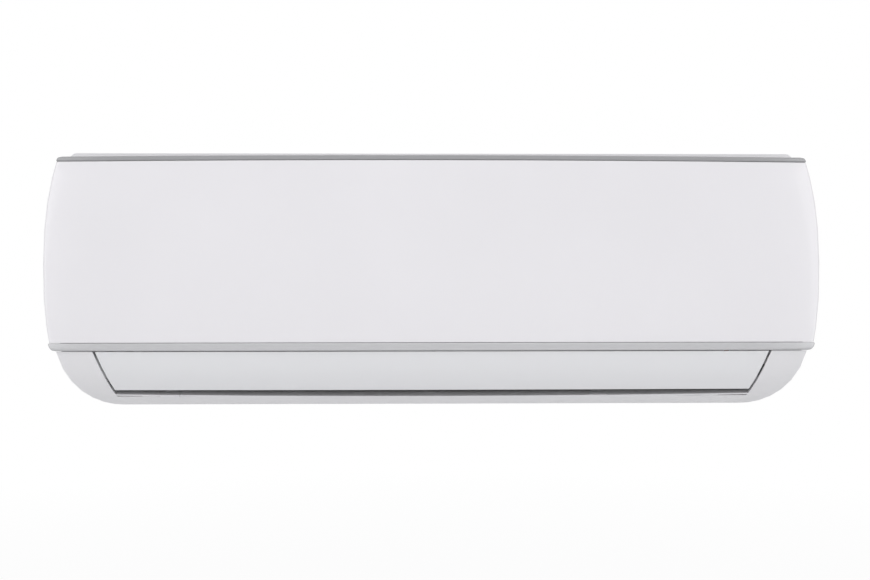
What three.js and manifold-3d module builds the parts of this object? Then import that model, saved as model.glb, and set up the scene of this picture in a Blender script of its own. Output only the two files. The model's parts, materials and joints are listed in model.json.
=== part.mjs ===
// Indoor unit of a wall-hung split air conditioner, as an assembly of separate pieces.
// Millimetres. X runs along the unit, the front faces -Y, the wall is the plane Y = 0 and Z is up.
// The pieces are drawn with Z = 0 at the unit's lowest edge; the finished group is then lowered so
// that its origin is the middle of the wall plate's back face.
import * as THREE from 'three';
import { mergeVertices } from 'three/addons/utils/BufferGeometryUtils.js';
import Module from 'manifold-3d';

const wasm = await Module();
wasm.setup();

// ---- Overall form ----
const UNIT_HEIGHT = 320;
const UNIT_DEPTH = 215;
const PANEL_HALF_WIDTH = 482.5; // at the waist of the barrel-shaped sides
const WAIST_HEIGHT = 178;
const BARREL_DROP = 13.5; // how much narrower each side is at BARREL_REACH from the waist
const BARREL_REACH = 127;
const BARREL_POWER = 2.5;
const PANEL_OVERHANG = 6; // panel edge beyond the frame behind it
const PLAN_BOW = 14; // how far the ends of the front lie behind its middle
const WALL = 2.4; // moulded wall of the frame and the chassis
const GAP = 0.4; // between pieces that touch or lie side by side
const EDGE_RADIUS = 5;

// ---- Heights and depths of the front ----
const LIP_TOP = 12.5;
const LOUVER_BOTTOM = 21;
const LOUVER_TOP = 69.2;
const CHEEK_TOP = 69.4;
const BOTTOM_TRIM_HEIGHT = 9.8;
const BOTTOM_TRIM_HALF = PANEL_HALF_WIDTH - 6.5;
const PANEL_BOTTOM = 80.2;
const PANEL_TOP = UNIT_HEIGHT - 15;
const TOP_TRIM_HEIGHT = 5.7;
const SHELF_HEIGHT = UNIT_HEIGHT - 28; // step behind the panel's top edge
const FRAME_FRONT = 17 - UNIT_DEPTH; // border that the panel closes on
const TOP_LIP_FRONT = 45 - UNIT_DEPTH;
const FRAME_BACK = -22;
// Half width of the flat bottom between the rounded corners.
const LOWER_CORNER_HALF = PANEL_HALF_WIDTH - 74.8;
const TOP_ROUND = 3.5;

// ---- Front panel ----
const PANEL_WALL = 3;
const PANEL_TOP_SETBACK = 9;
const PANEL_CROWN_HEIGHT = 140;
const HINGE_Y = 30 - UNIT_DEPTH;
const HINGE_Z = UNIT_HEIGHT - 23;
const HINGE_PIN_RADIUS = 2;
const HINGE_BRACKET_X = PANEL_HALF_WIDTH - 42.5;
const HINGE_BRACKET_WIDTH = 4;

// ---- Air path ----
const FAN_Y = -98;
const FAN_Z = 128;
const FAN_RADIUS = 49;
const DUCT_HALF = PANEL_HALF_WIDTH - 84.5; // to the inner face of each bulkhead
const FAN_LEFT = 6 - DUCT_HALF;
const FAN_RIGHT = DUCT_HALF - 14;
const FAN_SECTIONS = 4;
const FAN_BLADES = 12;
const SHAFT_RADIUS = 4;
const FLOOR_REAR = [-100, 42];
const FLOOR_FRONT = [-158, 20];
const BACK_WALL_Y = -15.2;
const LOWER_BACK_Z = 68;

// ---- Louver ----
const LOUVER_HALF_TOP = DUCT_HALF + 20;
const LOUVER_HALF_BOTTOM = DUCT_HALF + 2;
const LOUVER_DEPTH = 6;
const LOUVER_END_GAP = 3;
const LOUVER_PIVOT_Y = 39 - UNIT_DEPTH;
const LOUVER_PIVOT_Z = 31;
const LOUVER_PIN_RADIUS = 2.5;
const OUTLET_SIDE = DUCT_HALF + 9;

// ---- Vertical vanes ----
const VANES_PER_GROUP = 6;
const VANE_FIRST_X = 40;
const VANE_PITCH = 66;
const VANE_THICKNESS = 1.6;
const VANE_PIVOT_Y = -128;
const VANE_PIN_RADIUS = 1.8;
const VANE_CRANK = 18;
const VANE_HEIGHT = 36;
const LINK_WIDTH = 12;
const LINK_THICKNESS = 2;

// ---- Filters and coil ----
const ARC_RADIUS = 206;
const ARC_Y = 11;
const ARC_Z = 120;
const ARC_STEP = 9; // degrees between the corners of every arc
const FILTER_CLEARANCE = 0.8;
const FILTER_HALF = DUCT_HALF;
const FILTER_THICKNESS = 3;
const NET_THICKNESS = 0.8;
const FILTER_BOTTOM = 117;
const FILTER_TOP = UNIT_HEIGHT - 16;
const FILTER_OPENING_HALF = FILTER_HALF + 4;
const COIL_THICKNESS = 22;
const COIL_LEFT = 14 - DUCT_HALF;
const COIL_RIGHT = DUCT_HALF - 26;
const TUBE_RADIUS = 3.5;
const END_PLATE = 1.5;

// ---- Right-hand compartment ----
const MOTOR_RADIUS = 42;
const MOTOR_LEFT = DUCT_HALF + 7;
const MOTOR_RIGHT = MOTOR_LEFT + 46;
const BOX_LEFT = DUCT_HALF + 7;
const BOX_RIGHT = BOX_LEFT + 53;
const BOX_BOTTOM = 178;
const BOX_TOP = 286;
const BOX_FRONT = -176;
const BOX_BACK = -112;

// ---- Wall plate and pipes ----
const PLATE_HALF = 330;
const PLATE_BOTTOM = 60;
const PLATE_TOP = 290;
const PLATE_THICKNESS = 1.2;
const GAS_PIPE_RADIUS = 6.35;
const LIQUID_PIPE_RADIUS = 3.2;
const PIPE_Y = -28;
const GAS_PIPE_Z = 46;
const LIQUID_PIPE_Z = 18;

const ORIGIN_HEIGHT = (PLATE_BOTTOM + PLATE_TOP) / 2;

const material = (color, roughness, metalness) => new THREE.MeshStandardMaterial({ color, roughness,
  metalness });
const WHITE_GLOSS = material(0xe5e3e6, 0.22, 0);
const WHITE_PLASTIC = material(0xdddcde, 0.4, 0);
const TRIM_GREY = material(0x979799, 0.3, 0.6);
const TRIM_SILVER = material(0xbdbdbf, 0.25, 0.6);
const LOUVER_WHITE = material(0xdbdbdd, 0.35, 0);
const DUCT_PLASTIC = material(0xc9cacd, 0.5, 0);
const DARK_PLASTIC = material(0x2c2e32, 0.5, 0);
const FILTER_PLASTIC = material(0x9fb4c4, 0.6, 0);
const ALUMINIUM = material(0xc3c7cb, 0.35, 0.9);
const STEEL = material(0xb4b7ba, 0.4, 0.9);
const COPPER = material(0xb87350, 0.35, 0.9);
const BRASS = material(0xc7a35a, 0.3, 0.9);
const RUBBER = material(0x1d1d1f, 0.8, 0);
const FOAM = material(0x303236, 0.95, 0);
const BOARD = material(0x2f6b46, 0.5, 0);

// ---- Outlines in a plane, as lists of [u, v] ----

function circle(radius, u, v, sides) {
  return Array.from({ length: sides }, (_, i) => {
    const angle = (2 * Math.PI * (i + 0.5)) / sides;
    return [u + radius * Math.cos(angle), v + radius * Math.sin(angle)];
  });
}

function box2(u0, v0, u1, v1) {
  return [[u0, v0], [u1, v0], [u1, v1], [u0, v1]];
}

// Outline of a wall of even thickness that follows a line of points.
function thickLine(points, thickness) {
  const half = thickness / 2;
  const normals = points.slice(1).map(([u, v], i) => {
    const along = new THREE.Vector2(u - points[i][0], v - points[i][1]).normalize();
    return new THREE.Vector2(-along.y, along.x);
  });
  const offset = (sign) => points.map(([u, v], i) => {
    const before = normals[Math.max(i - 1, 0)];
    const after = normals[Math.min(i, normals.length - 1)];
    const mitre = before.clone().add(after).normalize();
    const reach = (sign * half) / mitre.dot(after);
    return [u + mitre.x * reach, v + mitre.y * reach];
  });
  return [...offset(1), ...offset(-1).reverse()];
}

// Points on the filters' arc, seen from the side, between two heights. Every arc has its corners at
// the same angles, so nested arcs keep an even gap.
function arcPoints(radius, zFrom, zTo) {
  const step = THREE.MathUtils.degToRad(ARC_STEP);
  const from = Math.asin((zFrom - ARC_Z) / radius);
  const to = Math.asin((zTo - ARC_Z) / radius);
  const angles = [from];
  for (let k = Math.floor(from / step) + 1; k * step < to; k += 1) angles.push(k * step);
  angles.push(to);
  return angles.map((angle) => [ARC_Y - radius * Math.cos(angle), ARC_Z + radius * Math.sin(angle)]);
}

function arcBand(inner, outer, zFrom, zTo) {
  return [...arcPoints(inner, zFrom, zTo), ...arcPoints(outer, zFrom, zTo).reverse()];
}

// ---- Solids ----

function solid(geometry) {
  geometry.deleteAttribute('normal');
  geometry.deleteAttribute('uv');
  const merged = mergeVertices(geometry, 1e-4);
  return new wasm.Manifold(new wasm.Mesh({
    numProp: 3,
    vertProperties: new Float32Array(merged.attributes.position.array),
    triVerts: new Uint32Array(merged.index.array),
  }));
}

function join(...bodies) {
  return bodies.reduce((whole, body) => whole.add(body));
}

function cut(body, ...tools) {
  return tools.reduce((rest, tool) => rest.subtract(tool), body);
}

const axis = { x: new THREE.Vector3(1, 0, 0), y: new THREE.Vector3(0, 1, 0), z: new THREE.Vector3(0, 0,
  1) };
const BASIS = {
  x: new THREE.Matrix4().makeBasis(axis.y, axis.z, axis.x),
  y: new THREE.Matrix4().makeBasis(axis.x, axis.z, axis.y.clone().negate()),
  z: new THREE.Matrix4(),
};

function prism(direction, outline, from, to) {
  const shape = new THREE.Shape(outline.map(([u, v]) => new THREE.Vector2(u, v)));
  const geometry = new THREE.ExtrudeGeometry(shape, { depth: to - from, bevelEnabled: false });
  geometry.applyMatrix4(BASIS[direction]);
  const start = axis[direction].clone().multiplyScalar(direction === 'y' ? to : from);
  geometry.translate(start.x, start.y, start.z);
  return solid(geometry);
}

const prismX = (outline, x0, x1) => prism('x', outline, x0, x1); // outline in (y, z)
const prismY = (outline, y0, y1) => prism('y', outline, y0, y1); // outline in (x, z)
const prismZ = (outline, z0, z1) => prism('z', outline, z0, z1); // outline in (x, y)
const block = (x0, y0, z0, x1, y1, z1) => prismZ(box2(x0, y0, x1, y1), z0, z1);
const rodX = (radius, x0, x1, y, z, sides = 16) => prismX(circle(radius, y, z, sides), x0, x1);
const rodY = (radius, y0, y1, x, z, sides = 12) => prismY(circle(radius, x, z, sides), y0, y1);
const rodZ = (radius, z0, z1, x, y, sides = 10) => prismZ(circle(radius, x, y, sides), z0, z1);

// Skin over a row of rings with equal numbers of points, closed with flat ends.
function loft(rings, flatten) {
  const count = rings[0].length;
  const faces = [];
  for (let row = 0; row < rings.length - 1; row += 1) {
    for (let i = 0; i < count; i += 1) {
      const a = row * count + i;
      const b = row * count + ((i + 1) % count);
      faces.push([a, b, b + count], [a, b + count, a + count]);
    }
  }
  [0, rings.length - 1].forEach((row) => {
    const flat = rings[row].map(flatten);
    const cap = THREE.ShapeUtils.triangulateShape(flat, []);
    const first = THREE.ShapeUtils.area(cap[0].map((i) => flat[i]));
    const follows = first * THREE.ShapeUtils.area(flat) > 0;
    cap.forEach((face) => {
      const placed = face.map((i) => i + row * count);
      faces.push(follows === (row > 0) ? placed : placed.reverse());
    });
  });
  const points = rings.flat();
  const volume = faces.reduce((sum, [a, b, c]) => {
    return sum + points[a].clone().cross(points[b]).dot(points[c]);
  }, 0);
  const geometry = new THREE.BufferGeometry().setFromPoints(points);
  geometry.setIndex(faces.flatMap((face) => (volume > 0 ? face : [...face].reverse())));
  return solid(geometry);
}

const flatXY = (p) => new THREE.Vector2(p.x, p.y);
const flatYZ = (p) => new THREE.Vector2(p.y, p.z);

// Round bar along a path given as points, each ring square to the path.
function pipe(path, radius, sides, flatten) {
  const curve = new THREE.CatmullRomCurve3(path, false, 'centripetal');
  const count = path.length - 1;
  const side = new THREE.Vector3();
  const rings = path.map((point, i) => {
    const tangent = curve.getTangent(i / count);
    side.crossVectors(tangent, axis.y).normalize();
    const other = new THREE.Vector3().crossVectors(side, tangent).normalize();
    return Array.from({ length: sides }, (_, k) => {
      const angle = (2 * Math.PI * (k + 0.5)) / sides;
      return point.clone()
        .addScaledVector(side, radius * Math.cos(angle))
        .addScaledVector(other, radius * Math.sin(angle));
    });
  });
  return loft(rings, flatten);
}

// ---- Outer form ----

const bow = (x) => PLAN_BOW * (x / PANEL_HALF_WIDTH) ** 2;

function panelHalfWidth(z) {
  return PANEL_HALF_WIDTH - BARREL_DROP * Math.abs((z - WAIST_HEIGHT) / BARREL_REACH) ** BARREL_POWER;
}

function panelFront(z) {
  const share = (z - PANEL_CROWN_HEIGHT) / (PANEL_TOP - PANEL_CROWN_HEIGHT);
  return -UNIT_DEPTH + PANEL_TOP_SETBACK * share ** 2;
}

// Lower corner seen from the front, from the cheek down to the flat bottom.
const CHEEK_HALF = panelHalfWidth(CHEEK_TOP) - PANEL_OVERHANG;
const cornerCurve = new THREE.CubicBezierCurve(
  new THREE.Vector2(CHEEK_HALF, CHEEK_TOP),
  new THREE.Vector2(CHEEK_HALF - 6, CHEEK_TOP - 33),
  new THREE.Vector2(LOWER_CORNER_HALF + 33, 6),
  new THREE.Vector2(LOWER_CORNER_HALF, 0),
);

// Lower front seen from the side, from the louver's top edge round under the lip.
const lowerFrontCurve = new THREE.CubicBezierCurve(
  new THREE.Vector2(3 - UNIT_DEPTH, CHEEK_TOP),
  new THREE.Vector2(9 - UNIT_DEPTH, CHEEK_TOP - 29),
  new THREE.Vector2(25 - UNIT_DEPTH, 2),
  new THREE.Vector2(75 - UNIT_DEPTH, 0),
);

// First coordinate of a falling curve at height z.
function curveAt(curve, z) {
  let low = 0;
  let high = 1;
  while (high - low > 1e-6) {
    const middle = (low + high) / 2;
    if (curve.getPoint(middle).y > z) low = middle;
    else high = middle;
  }
  return curve.getPoint(low).x;
}

const lowerFront = (z) => curveAt(lowerFrontCurve, z);

function frameHalfWidth(z) {
  return z < CHEEK_TOP ? curveAt(cornerCurve, z) : panelHalfWidth(z) - PANEL_OVERHANG;
}

// Closed plan outline at one height: bowed front with rounded ends, and a back that is flat or bowed.
function planRing(z, { half, front, back, radius, bowed = true, bowedBack = false }) {
  const inner = half - radius;
  const lag = (x) => (bowed ? bow(x) : 0);
  const xs = [-inner, ...PLAN_STATIONS, inner];
  const corner = (sign) => [0, Math.PI / 4].map((angle) => {
    const x = sign * (inner + radius * Math.cos(angle));
    return new THREE.Vector3(x, front + lag(x) + radius * (1 - Math.sin(angle)), z);
  });
  const frontLine = xs.map((x) => new THREE.Vector3(x, front + lag(x), z));
  const backXs = bowedBack ? [half, ...xs.slice(1, -1).reverse(), -half] : [half, -half];
  const backLine = backXs.map((x) => new THREE.Vector3(x, back + (bowedBack ? bow(x) : 0), z));
  return [...corner(-1), ...frontLine, ...corner(1).reverse(), ...backLine];
}

const PLAN_STATIONS = [-336, -224, -112, 0, 112, 224, 336];
const CHEEK_LEVELS = [0, 1.5, 5, 11, 20, 32, 48, CHEEK_TOP];
const FRAME_LEVELS = [CHEEK_TOP - 12, 127, WAIST_HEIGHT, 230, SHELF_HEIGHT];

// The frame's outer form shrunk by an even inset: three stacked volumes with a common flat back.
function frameVolume(inset, back) {
  const ring = (z, height, front, options) => planRing(height, {
    half: frameHalfWidth(z) - inset, front: front + inset, back, radius: EDGE_RADIUS, ...options,
  });
  const cheeks = CHEEK_LEVELS.map((z) => ring(z, Math.min(z + inset, CHEEK_TOP - inset), lowerFront(z)));
  const middle = FRAME_LEVELS.map((z) => ring(z, Math.min(z, SHELF_HEIGHT - inset), FRAME_FRONT));
  const roundStart = UNIT_HEIGHT - TOP_ROUND;
  const upper = [SHELF_HEIGHT - 12, roundStart, UNIT_HEIGHT].map((z) => ring(z, z - inset, TOP_LIP_FRONT, {
    half: frameHalfWidth(z) - inset - Math.max(z - roundStart, 0), bowed: false,
  }));
  return join(loft(cheeks, flatXY), loft(middle, flatXY), loft(upper, flatXY));
}

// Outline of the unit seen from behind, shrunk by an inset.
function rearOutline(inset) {
  const heights = [...CHEEK_LEVELS, ...FRAME_LEVELS.slice(1), UNIT_HEIGHT - TOP_ROUND];
  const side = heights.map((z) => [frameHalfWidth(z) - inset, Math.max(z, inset)]);
  side.push([frameHalfWidth(UNIT_HEIGHT) - TOP_ROUND - inset, UNIT_HEIGHT - inset]);
  return [...side, ...side.map(([x, z]) => [-x, z]).reverse()];
}

// ---- The assembly ----

const unit = new THREE.Group();
unit.position.z = -ORIGIN_HEIGHT;

function piece(name, body, finish, place = new THREE.Matrix4()) {
  const { vertProperties, triVerts } = body.getMesh();
  const geometry = new THREE.BufferGeometry();
  geometry.setAttribute('position', new THREE.BufferAttribute(new Float32Array(vertProperties), 3));
  geometry.setIndex(new THREE.BufferAttribute(new Uint32Array(triVerts), 1));
  const mesh = new THREE.Mesh(geometry, finish);
  mesh.name = name;
  place.decompose(mesh.position, mesh.quaternion, mesh.scale);
  unit.add(mesh);
}

const SIDES = [{ side: 'left', sign: -1 }, { side: 'right', sign: 1 }];
const spanX = (sign, near, far) => (sign < 0 ? [-far, -near] : [near, far]);

// ---- Wall plate: pressed sheet with two stiffening ribs, hooks above and catches below ----

const HOOK_XS = [-250, 0, 250];
const HOOK_Z = 262;
const HOOK_WIDTH = 24;
const RIB_DEPTH = 7;
const RIB_HEIGHTS = [[105, 135], [230, 260]];
const PLATE_HOLE_RADIUS = 3;

function wallPlate() {
  const middle = -PLATE_THICKNESS / 2;
  const ribs = RIB_HEIGHTS.flatMap(([low, high]) => [
    [middle, low], [middle - RIB_DEPTH, low + 6], [middle - RIB_DEPTH, high - 6], [middle, high],
  ]);
  const section = thickLine([[middle, PLATE_BOTTOM], ...ribs, [middle, PLATE_TOP]], PLATE_THICKNESS);
  const sheet = prismX(section, -PLATE_HALF, PLATE_HALF);
  const hook = thickLine([[middle, HOOK_Z], [-20, HOOK_Z], [-20, HOOK_Z + 12]], PLATE_THICKNESS);
  const catchTab = thickLine([[middle, PLATE_BOTTOM + 4], [-13, PLATE_BOTTOM + 4]], PLATE_THICKNESS);
  const tabs = HOOK_XS.flatMap((x) => [
    prismX(hook, x - HOOK_WIDTH / 2, x + HOOK_WIDTH / 2),
    prismX(catchTab, x - HOOK_WIDTH / 2, x + HOOK_WIDTH / 2),
  ]);
  const holes = [-300, -140, 140, 300].flatMap((x) => [80, 278].map((z) => (
    rodY(PLATE_HOLE_RADIUS, -PLATE_THICKNESS - 1, 1, x, z, 6)
  )));
  return cut(join(sheet, ...tabs), ...holes);
}

piece('wall_plate', wallPlate(), STEEL);

// ---- Rear chassis ----

const fanPoint = (radius, degrees) => {
  const angle = THREE.MathUtils.degToRad(degrees);
  return [FAN_Y + radius * Math.sin(angle), FAN_Z + radius * Math.cos(angle)];
};
const SCROLL = [[35, 56], [60, 58], [90, 60.5], [115, 63.5], [138, 68], [160, 75]].map(
  ([degrees, radius]) => fanPoint(radius, degrees),
);
const FLOOR_LINE = [...SCROLL, FLOOR_REAR, FLOOR_FRONT];
const FLOOR_SLOPE = Math.atan2(FLOOR_REAR[1] - FLOOR_FRONT[1], FLOOR_REAR[0] - FLOOR_FRONT[0]);
const RIM_FRONT = FRAME_BACK + GAP;
const RIM_BACK = -0.5;
const GUTTER = [[BACK_WALL_Y, 182], [-54, 178], [-66, 189]];
const BULKHEAD_RADIUS = 56;
const BEARING_HOLE = 14;
const FRAME_BOTTOM_BACK = -118; // the frame's own floor ends here and the chassis's begins
const CRADLE_XS = [MOTOR_LEFT + 4, MOTOR_LEFT + 39];
const CRADLE_WIDTH = 2.4;
const CRADLE_CLEARANCE = 1.3;
const SHELF_TOP = BOX_BOTTOM - GAP;
const PIPE_X = DUCT_HALF + 26; // where the pipes come down on the right
const SCREW_XS = [-332.6, 208.6];
const SCREW_Z = 13;
const BOSS = { front: -157.2, back: -144, bottom: 8.4, half: 6 };

// Vane frame: along the outlet floor, square to it, and across.
const VANE_TILT = new THREE.Matrix4().makeRotationX(FLOOR_SLOPE);
const vaneSide = [-1, 1].map((sign) => (
  Array.from({ length: VANES_PER_GROUP }, (_, i) => sign * (VANE_FIRST_X + VANE_PITCH * i))
));
const vanePlace = (x) => new THREE.Matrix4().makeTranslation(x, VANE_PIVOT_Y,
  vaneFloorZ()).multiply(VANE_TILT);

function vaneFloorZ() {
  const share = (VANE_PIVOT_Y - FLOOR_REAR[0]) / (FLOOR_FRONT[0] - FLOOR_REAR[0]);
  return FLOOR_REAR[1] + share * (FLOOR_FRONT[1] - FLOOR_REAR[1]) + WALL / 2 / Math.cos(FLOOR_SLOPE);
}

function vanePinHole(x) {
  const outline = circle(VANE_PIN_RADIUS + GAP, 0, 0, 6).map(([u, v]) => new THREE.Vector2(u, v));
  const geometry = new THREE.ExtrudeGeometry(new THREE.Shape(outline), { depth: 12, bevelEnabled: false });
  geometry.translate(0, 0, -6);
  return solid(geometry.applyMatrix4(vanePlace(x)));
}

function motorCradle() {
  const outline = box2(-146, 70, BACK_WALL_Y, FAN_Z);
  const hollow = rodX(MOTOR_RADIUS + CRADLE_CLEARANCE, MOTOR_LEFT, MOTOR_RIGHT, FAN_Y, FAN_Z, 24);
  return CRADLE_XS.map((x) => cut(prismX(outline, x, x + CRADLE_WIDTH), hollow));
}

function rearChassis() {
  const rim = cut(
    prismY(rearOutline(0), RIM_FRONT, RIM_BACK),
    prismY(rearOutline(WALL), RIM_FRONT - 1, RIM_BACK + 1),
  );
  const inside = rearOutline(WALL / 2);
  const backWall = prismY(inside, BACK_WALL_Y - WALL / 2, BACK_WALL_Y + WALL / 2)
    .intersect(block(-600, -60, LOWER_BACK_Z, 600, 0, UNIT_HEIGHT));
  const span = DUCT_HALF + WALL;
  const scroll = prismX(thickLine(FLOOR_LINE, WALL), -span, span);
  const gutter = prismX(thickLine(GUTTER, WALL), -span, span);
  const lowerBack = prismX(thickLine([[BACK_WALL_Y, LOWER_BACK_Z], [-53, LOWER_BACK_Z + 7]], WALL), -span,
    span);
  const gutterWeb = prismX(thickLine([[-60, 184], [-64, 176]], WALL * 1.5), -span, span);
  const bottom = block(-span, FRAME_BOTTOM_BACK + GAP, 0, span, RIM_FRONT + 1, WALL)
    .intersect(prismY(rearOutline(0), FRAME_BOTTOM_BACK, 0));
  const rib = [[-112, 1], [-112, 37], [-100, 41.5], [-74, 57.5], [-74, 1]];
  const ribs = [-300, -100, 100, 300].map((x) => prismX(rib, x - WALL / 2, x + WALL / 2));
  const outletSide = [FLOOR_REAR, [-148, 24], [-148, 78], [-140, 92], [-118, 120]];
  const boss = [[BOSS.front, BOSS.bottom], [BOSS.back, BOSS.bottom], [BOSS.back, 25], [BOSS.front, 20]];
  const bulkheads = SIDES.flatMap(({ sign }) => {
    const [x0, x1] = spanX(sign, DUCT_HALF, span);
    return [rodX(BULKHEAD_RADIUS, x0, x1, FAN_Y, FAN_Z, 28), prismX(outletSide, x0, x1)];
  });
  const shelf = prismX(box2(-150, SHELF_TOP - WALL, BACK_WALL_Y, SHELF_TOP), BOX_LEFT + 1, BOX_RIGHT);
  const cradleFloor = prismX(box2(-146, 70, -50, 70 + WALL), DUCT_HALF, BOX_RIGHT);
  const bosses = SCREW_XS.map((x) => prismX(boss, x - BOSS.half, x + BOSS.half));
  const shell = join(
    rim, backWall, scroll, gutter, gutterWeb, lowerBack, bottom, ...ribs, ...bulkheads, shelf, cradleFloor,
    ...motorCradle(), ...bosses,
  );
  const hookSlots = HOOK_XS.map((x) => block(x - 16, -30, HOOK_Z - 12, x + 16, -8, HOOK_Z + 0.9));
  const screwHoles = SCREW_XS.map((x) => rodY(2.2, BOSS.front - 1, BOSS.back - 2, x, SCREW_Z, 8));
  const panSpace = block(-500, -200, 79, 500, -149.3, 121);
  const pinHoles = vaneSide.flat().map(vanePinHole);
  return cut(
    shell, panSpace, ...hookSlots, ...screwHoles, ...pinHoles,
    rodX(BEARING_HOLE, -span - 1, -DUCT_HALF + 1, FAN_Y, FAN_Z, 16),
    rodX(BEARING_HOLE, DUCT_HALF - 1, span + 1, FAN_Y, FAN_Z, 16),
    block(PIPE_X - 10, -46, 150, PIPE_X + 18, -17, 190),
  );
}

piece('rear_chassis', rearChassis(), WHITE_PLASTIC);

// ---- Front frame: cheeks, lower lip, filter opening, top inlet grille ----

const GRILLE = { left: -419, right: 411, front: -160, back: -28, columns: 5, rows: 7, bar: 5, rib: 8 };
const RAIL_OUTER = ARC_RADIUS - FILTER_THICKNESS / 2 - FILTER_CLEARANCE;
const RAIL_INNER = RAIL_OUTER - 3;
const LINER_INNER = ARC_RADIUS - 7;
const KEEPER_INNER = ARC_RADIUS + FILTER_THICKNESS / 2 + FILTER_CLEARANCE + 0.2;
const LIP_LINE = [[-180, LIP_TOP - 1.2], [FLOOR_FRONT[0] - GAP, FLOOR_FRONT[1]]];
const CAP_WIDTH = 24;
const CAP_LENGTH = 15;
const CAP_CLEARANCE = 0.3;
const BEARING_COLLAR = 4;
const CUP_BACK = -159.6; // rear of the pocket that holds each frame screw's head
const CUP_WALL = 1.6;
const CUP_FLOOR = 9.3;

function grilleSlots() {
  const pitchX = (GRILLE.right - GRILLE.left + GRILLE.rib) / GRILLE.columns;
  const pitchY = (GRILLE.back - GRILLE.front + GRILLE.bar) / GRILLE.rows;
  const slots = [];
  for (let column = 0; column < GRILLE.columns; column += 1) {
    const x = GRILLE.left + column * pitchX;
    for (let row = 0; row < GRILLE.rows; row += 1) {
      const y = GRILLE.front + row * pitchY;
      slots.push(block(x, y, UNIT_HEIGHT - WALL - 0.2, x + pitchX - GRILLE.rib, y + pitchY - GRILLE.bar,
        UNIT_HEIGHT + 1));
    }
  }
  return slots;
}

function louverHalf(z) {
  const share = (z - LOUVER_BOTTOM) / (LOUVER_TOP - LOUVER_BOTTOM);
  return LOUVER_HALF_BOTTOM + share * (LOUVER_HALF_TOP - LOUVER_HALF_BOTTOM);
}

function outletOpening() {
  const low = louverHalf(LIP_TOP) + LOUVER_END_GAP;
  const high = louverHalf(LOUVER_TOP) + LOUVER_END_GAP;
  const outline = [[-low, LIP_TOP], [low, LIP_TOP], [high, CHEEK_TOP + 1], [-high, CHEEK_TOP + 1]];
  return prismY(outline, -240, -140);
}

function hingeBrackets(sign) {
  const [x0, x1] = spanX(sign, HINGE_BRACKET_X, HINGE_BRACKET_X + HINGE_BRACKET_WIDTH);
  const outline = [[HINGE_Y - 4.2, SHELF_HEIGHT - 1], [HINGE_Y - 4.2, HINGE_Z + 1.7], [HINGE_Y - 1.7,
    HINGE_Z + 4.2],
    [HINGE_Y + 1.7, HINGE_Z + 4.2], [HINGE_Y + 4.2, HINGE_Z + 1.7], [HINGE_Y + 6, SHELF_HEIGHT - 1]];
  return cut(
    prismX(outline, x0, x1),
    rodX(HINGE_PIN_RADIUS + GAP, x0 - 1, x1 + 1, HINGE_Y, HINGE_Z, 12),
  );
}

function screwCup(x) {
  const outer = block(x - 7, -177, 5, x + 7, CUP_BACK, 40);
  const back = CUP_BACK - CUP_WALL;
  const hollow = prismX([[back, CUP_FLOOR], [-164.4, CUP_FLOOR], [-167, 11.6], [-171, 14.2], [-174, 17], [-174, 40],
    [back, 40]], x - 5, x + 5);
  return { outer, hollow };
}

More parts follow.
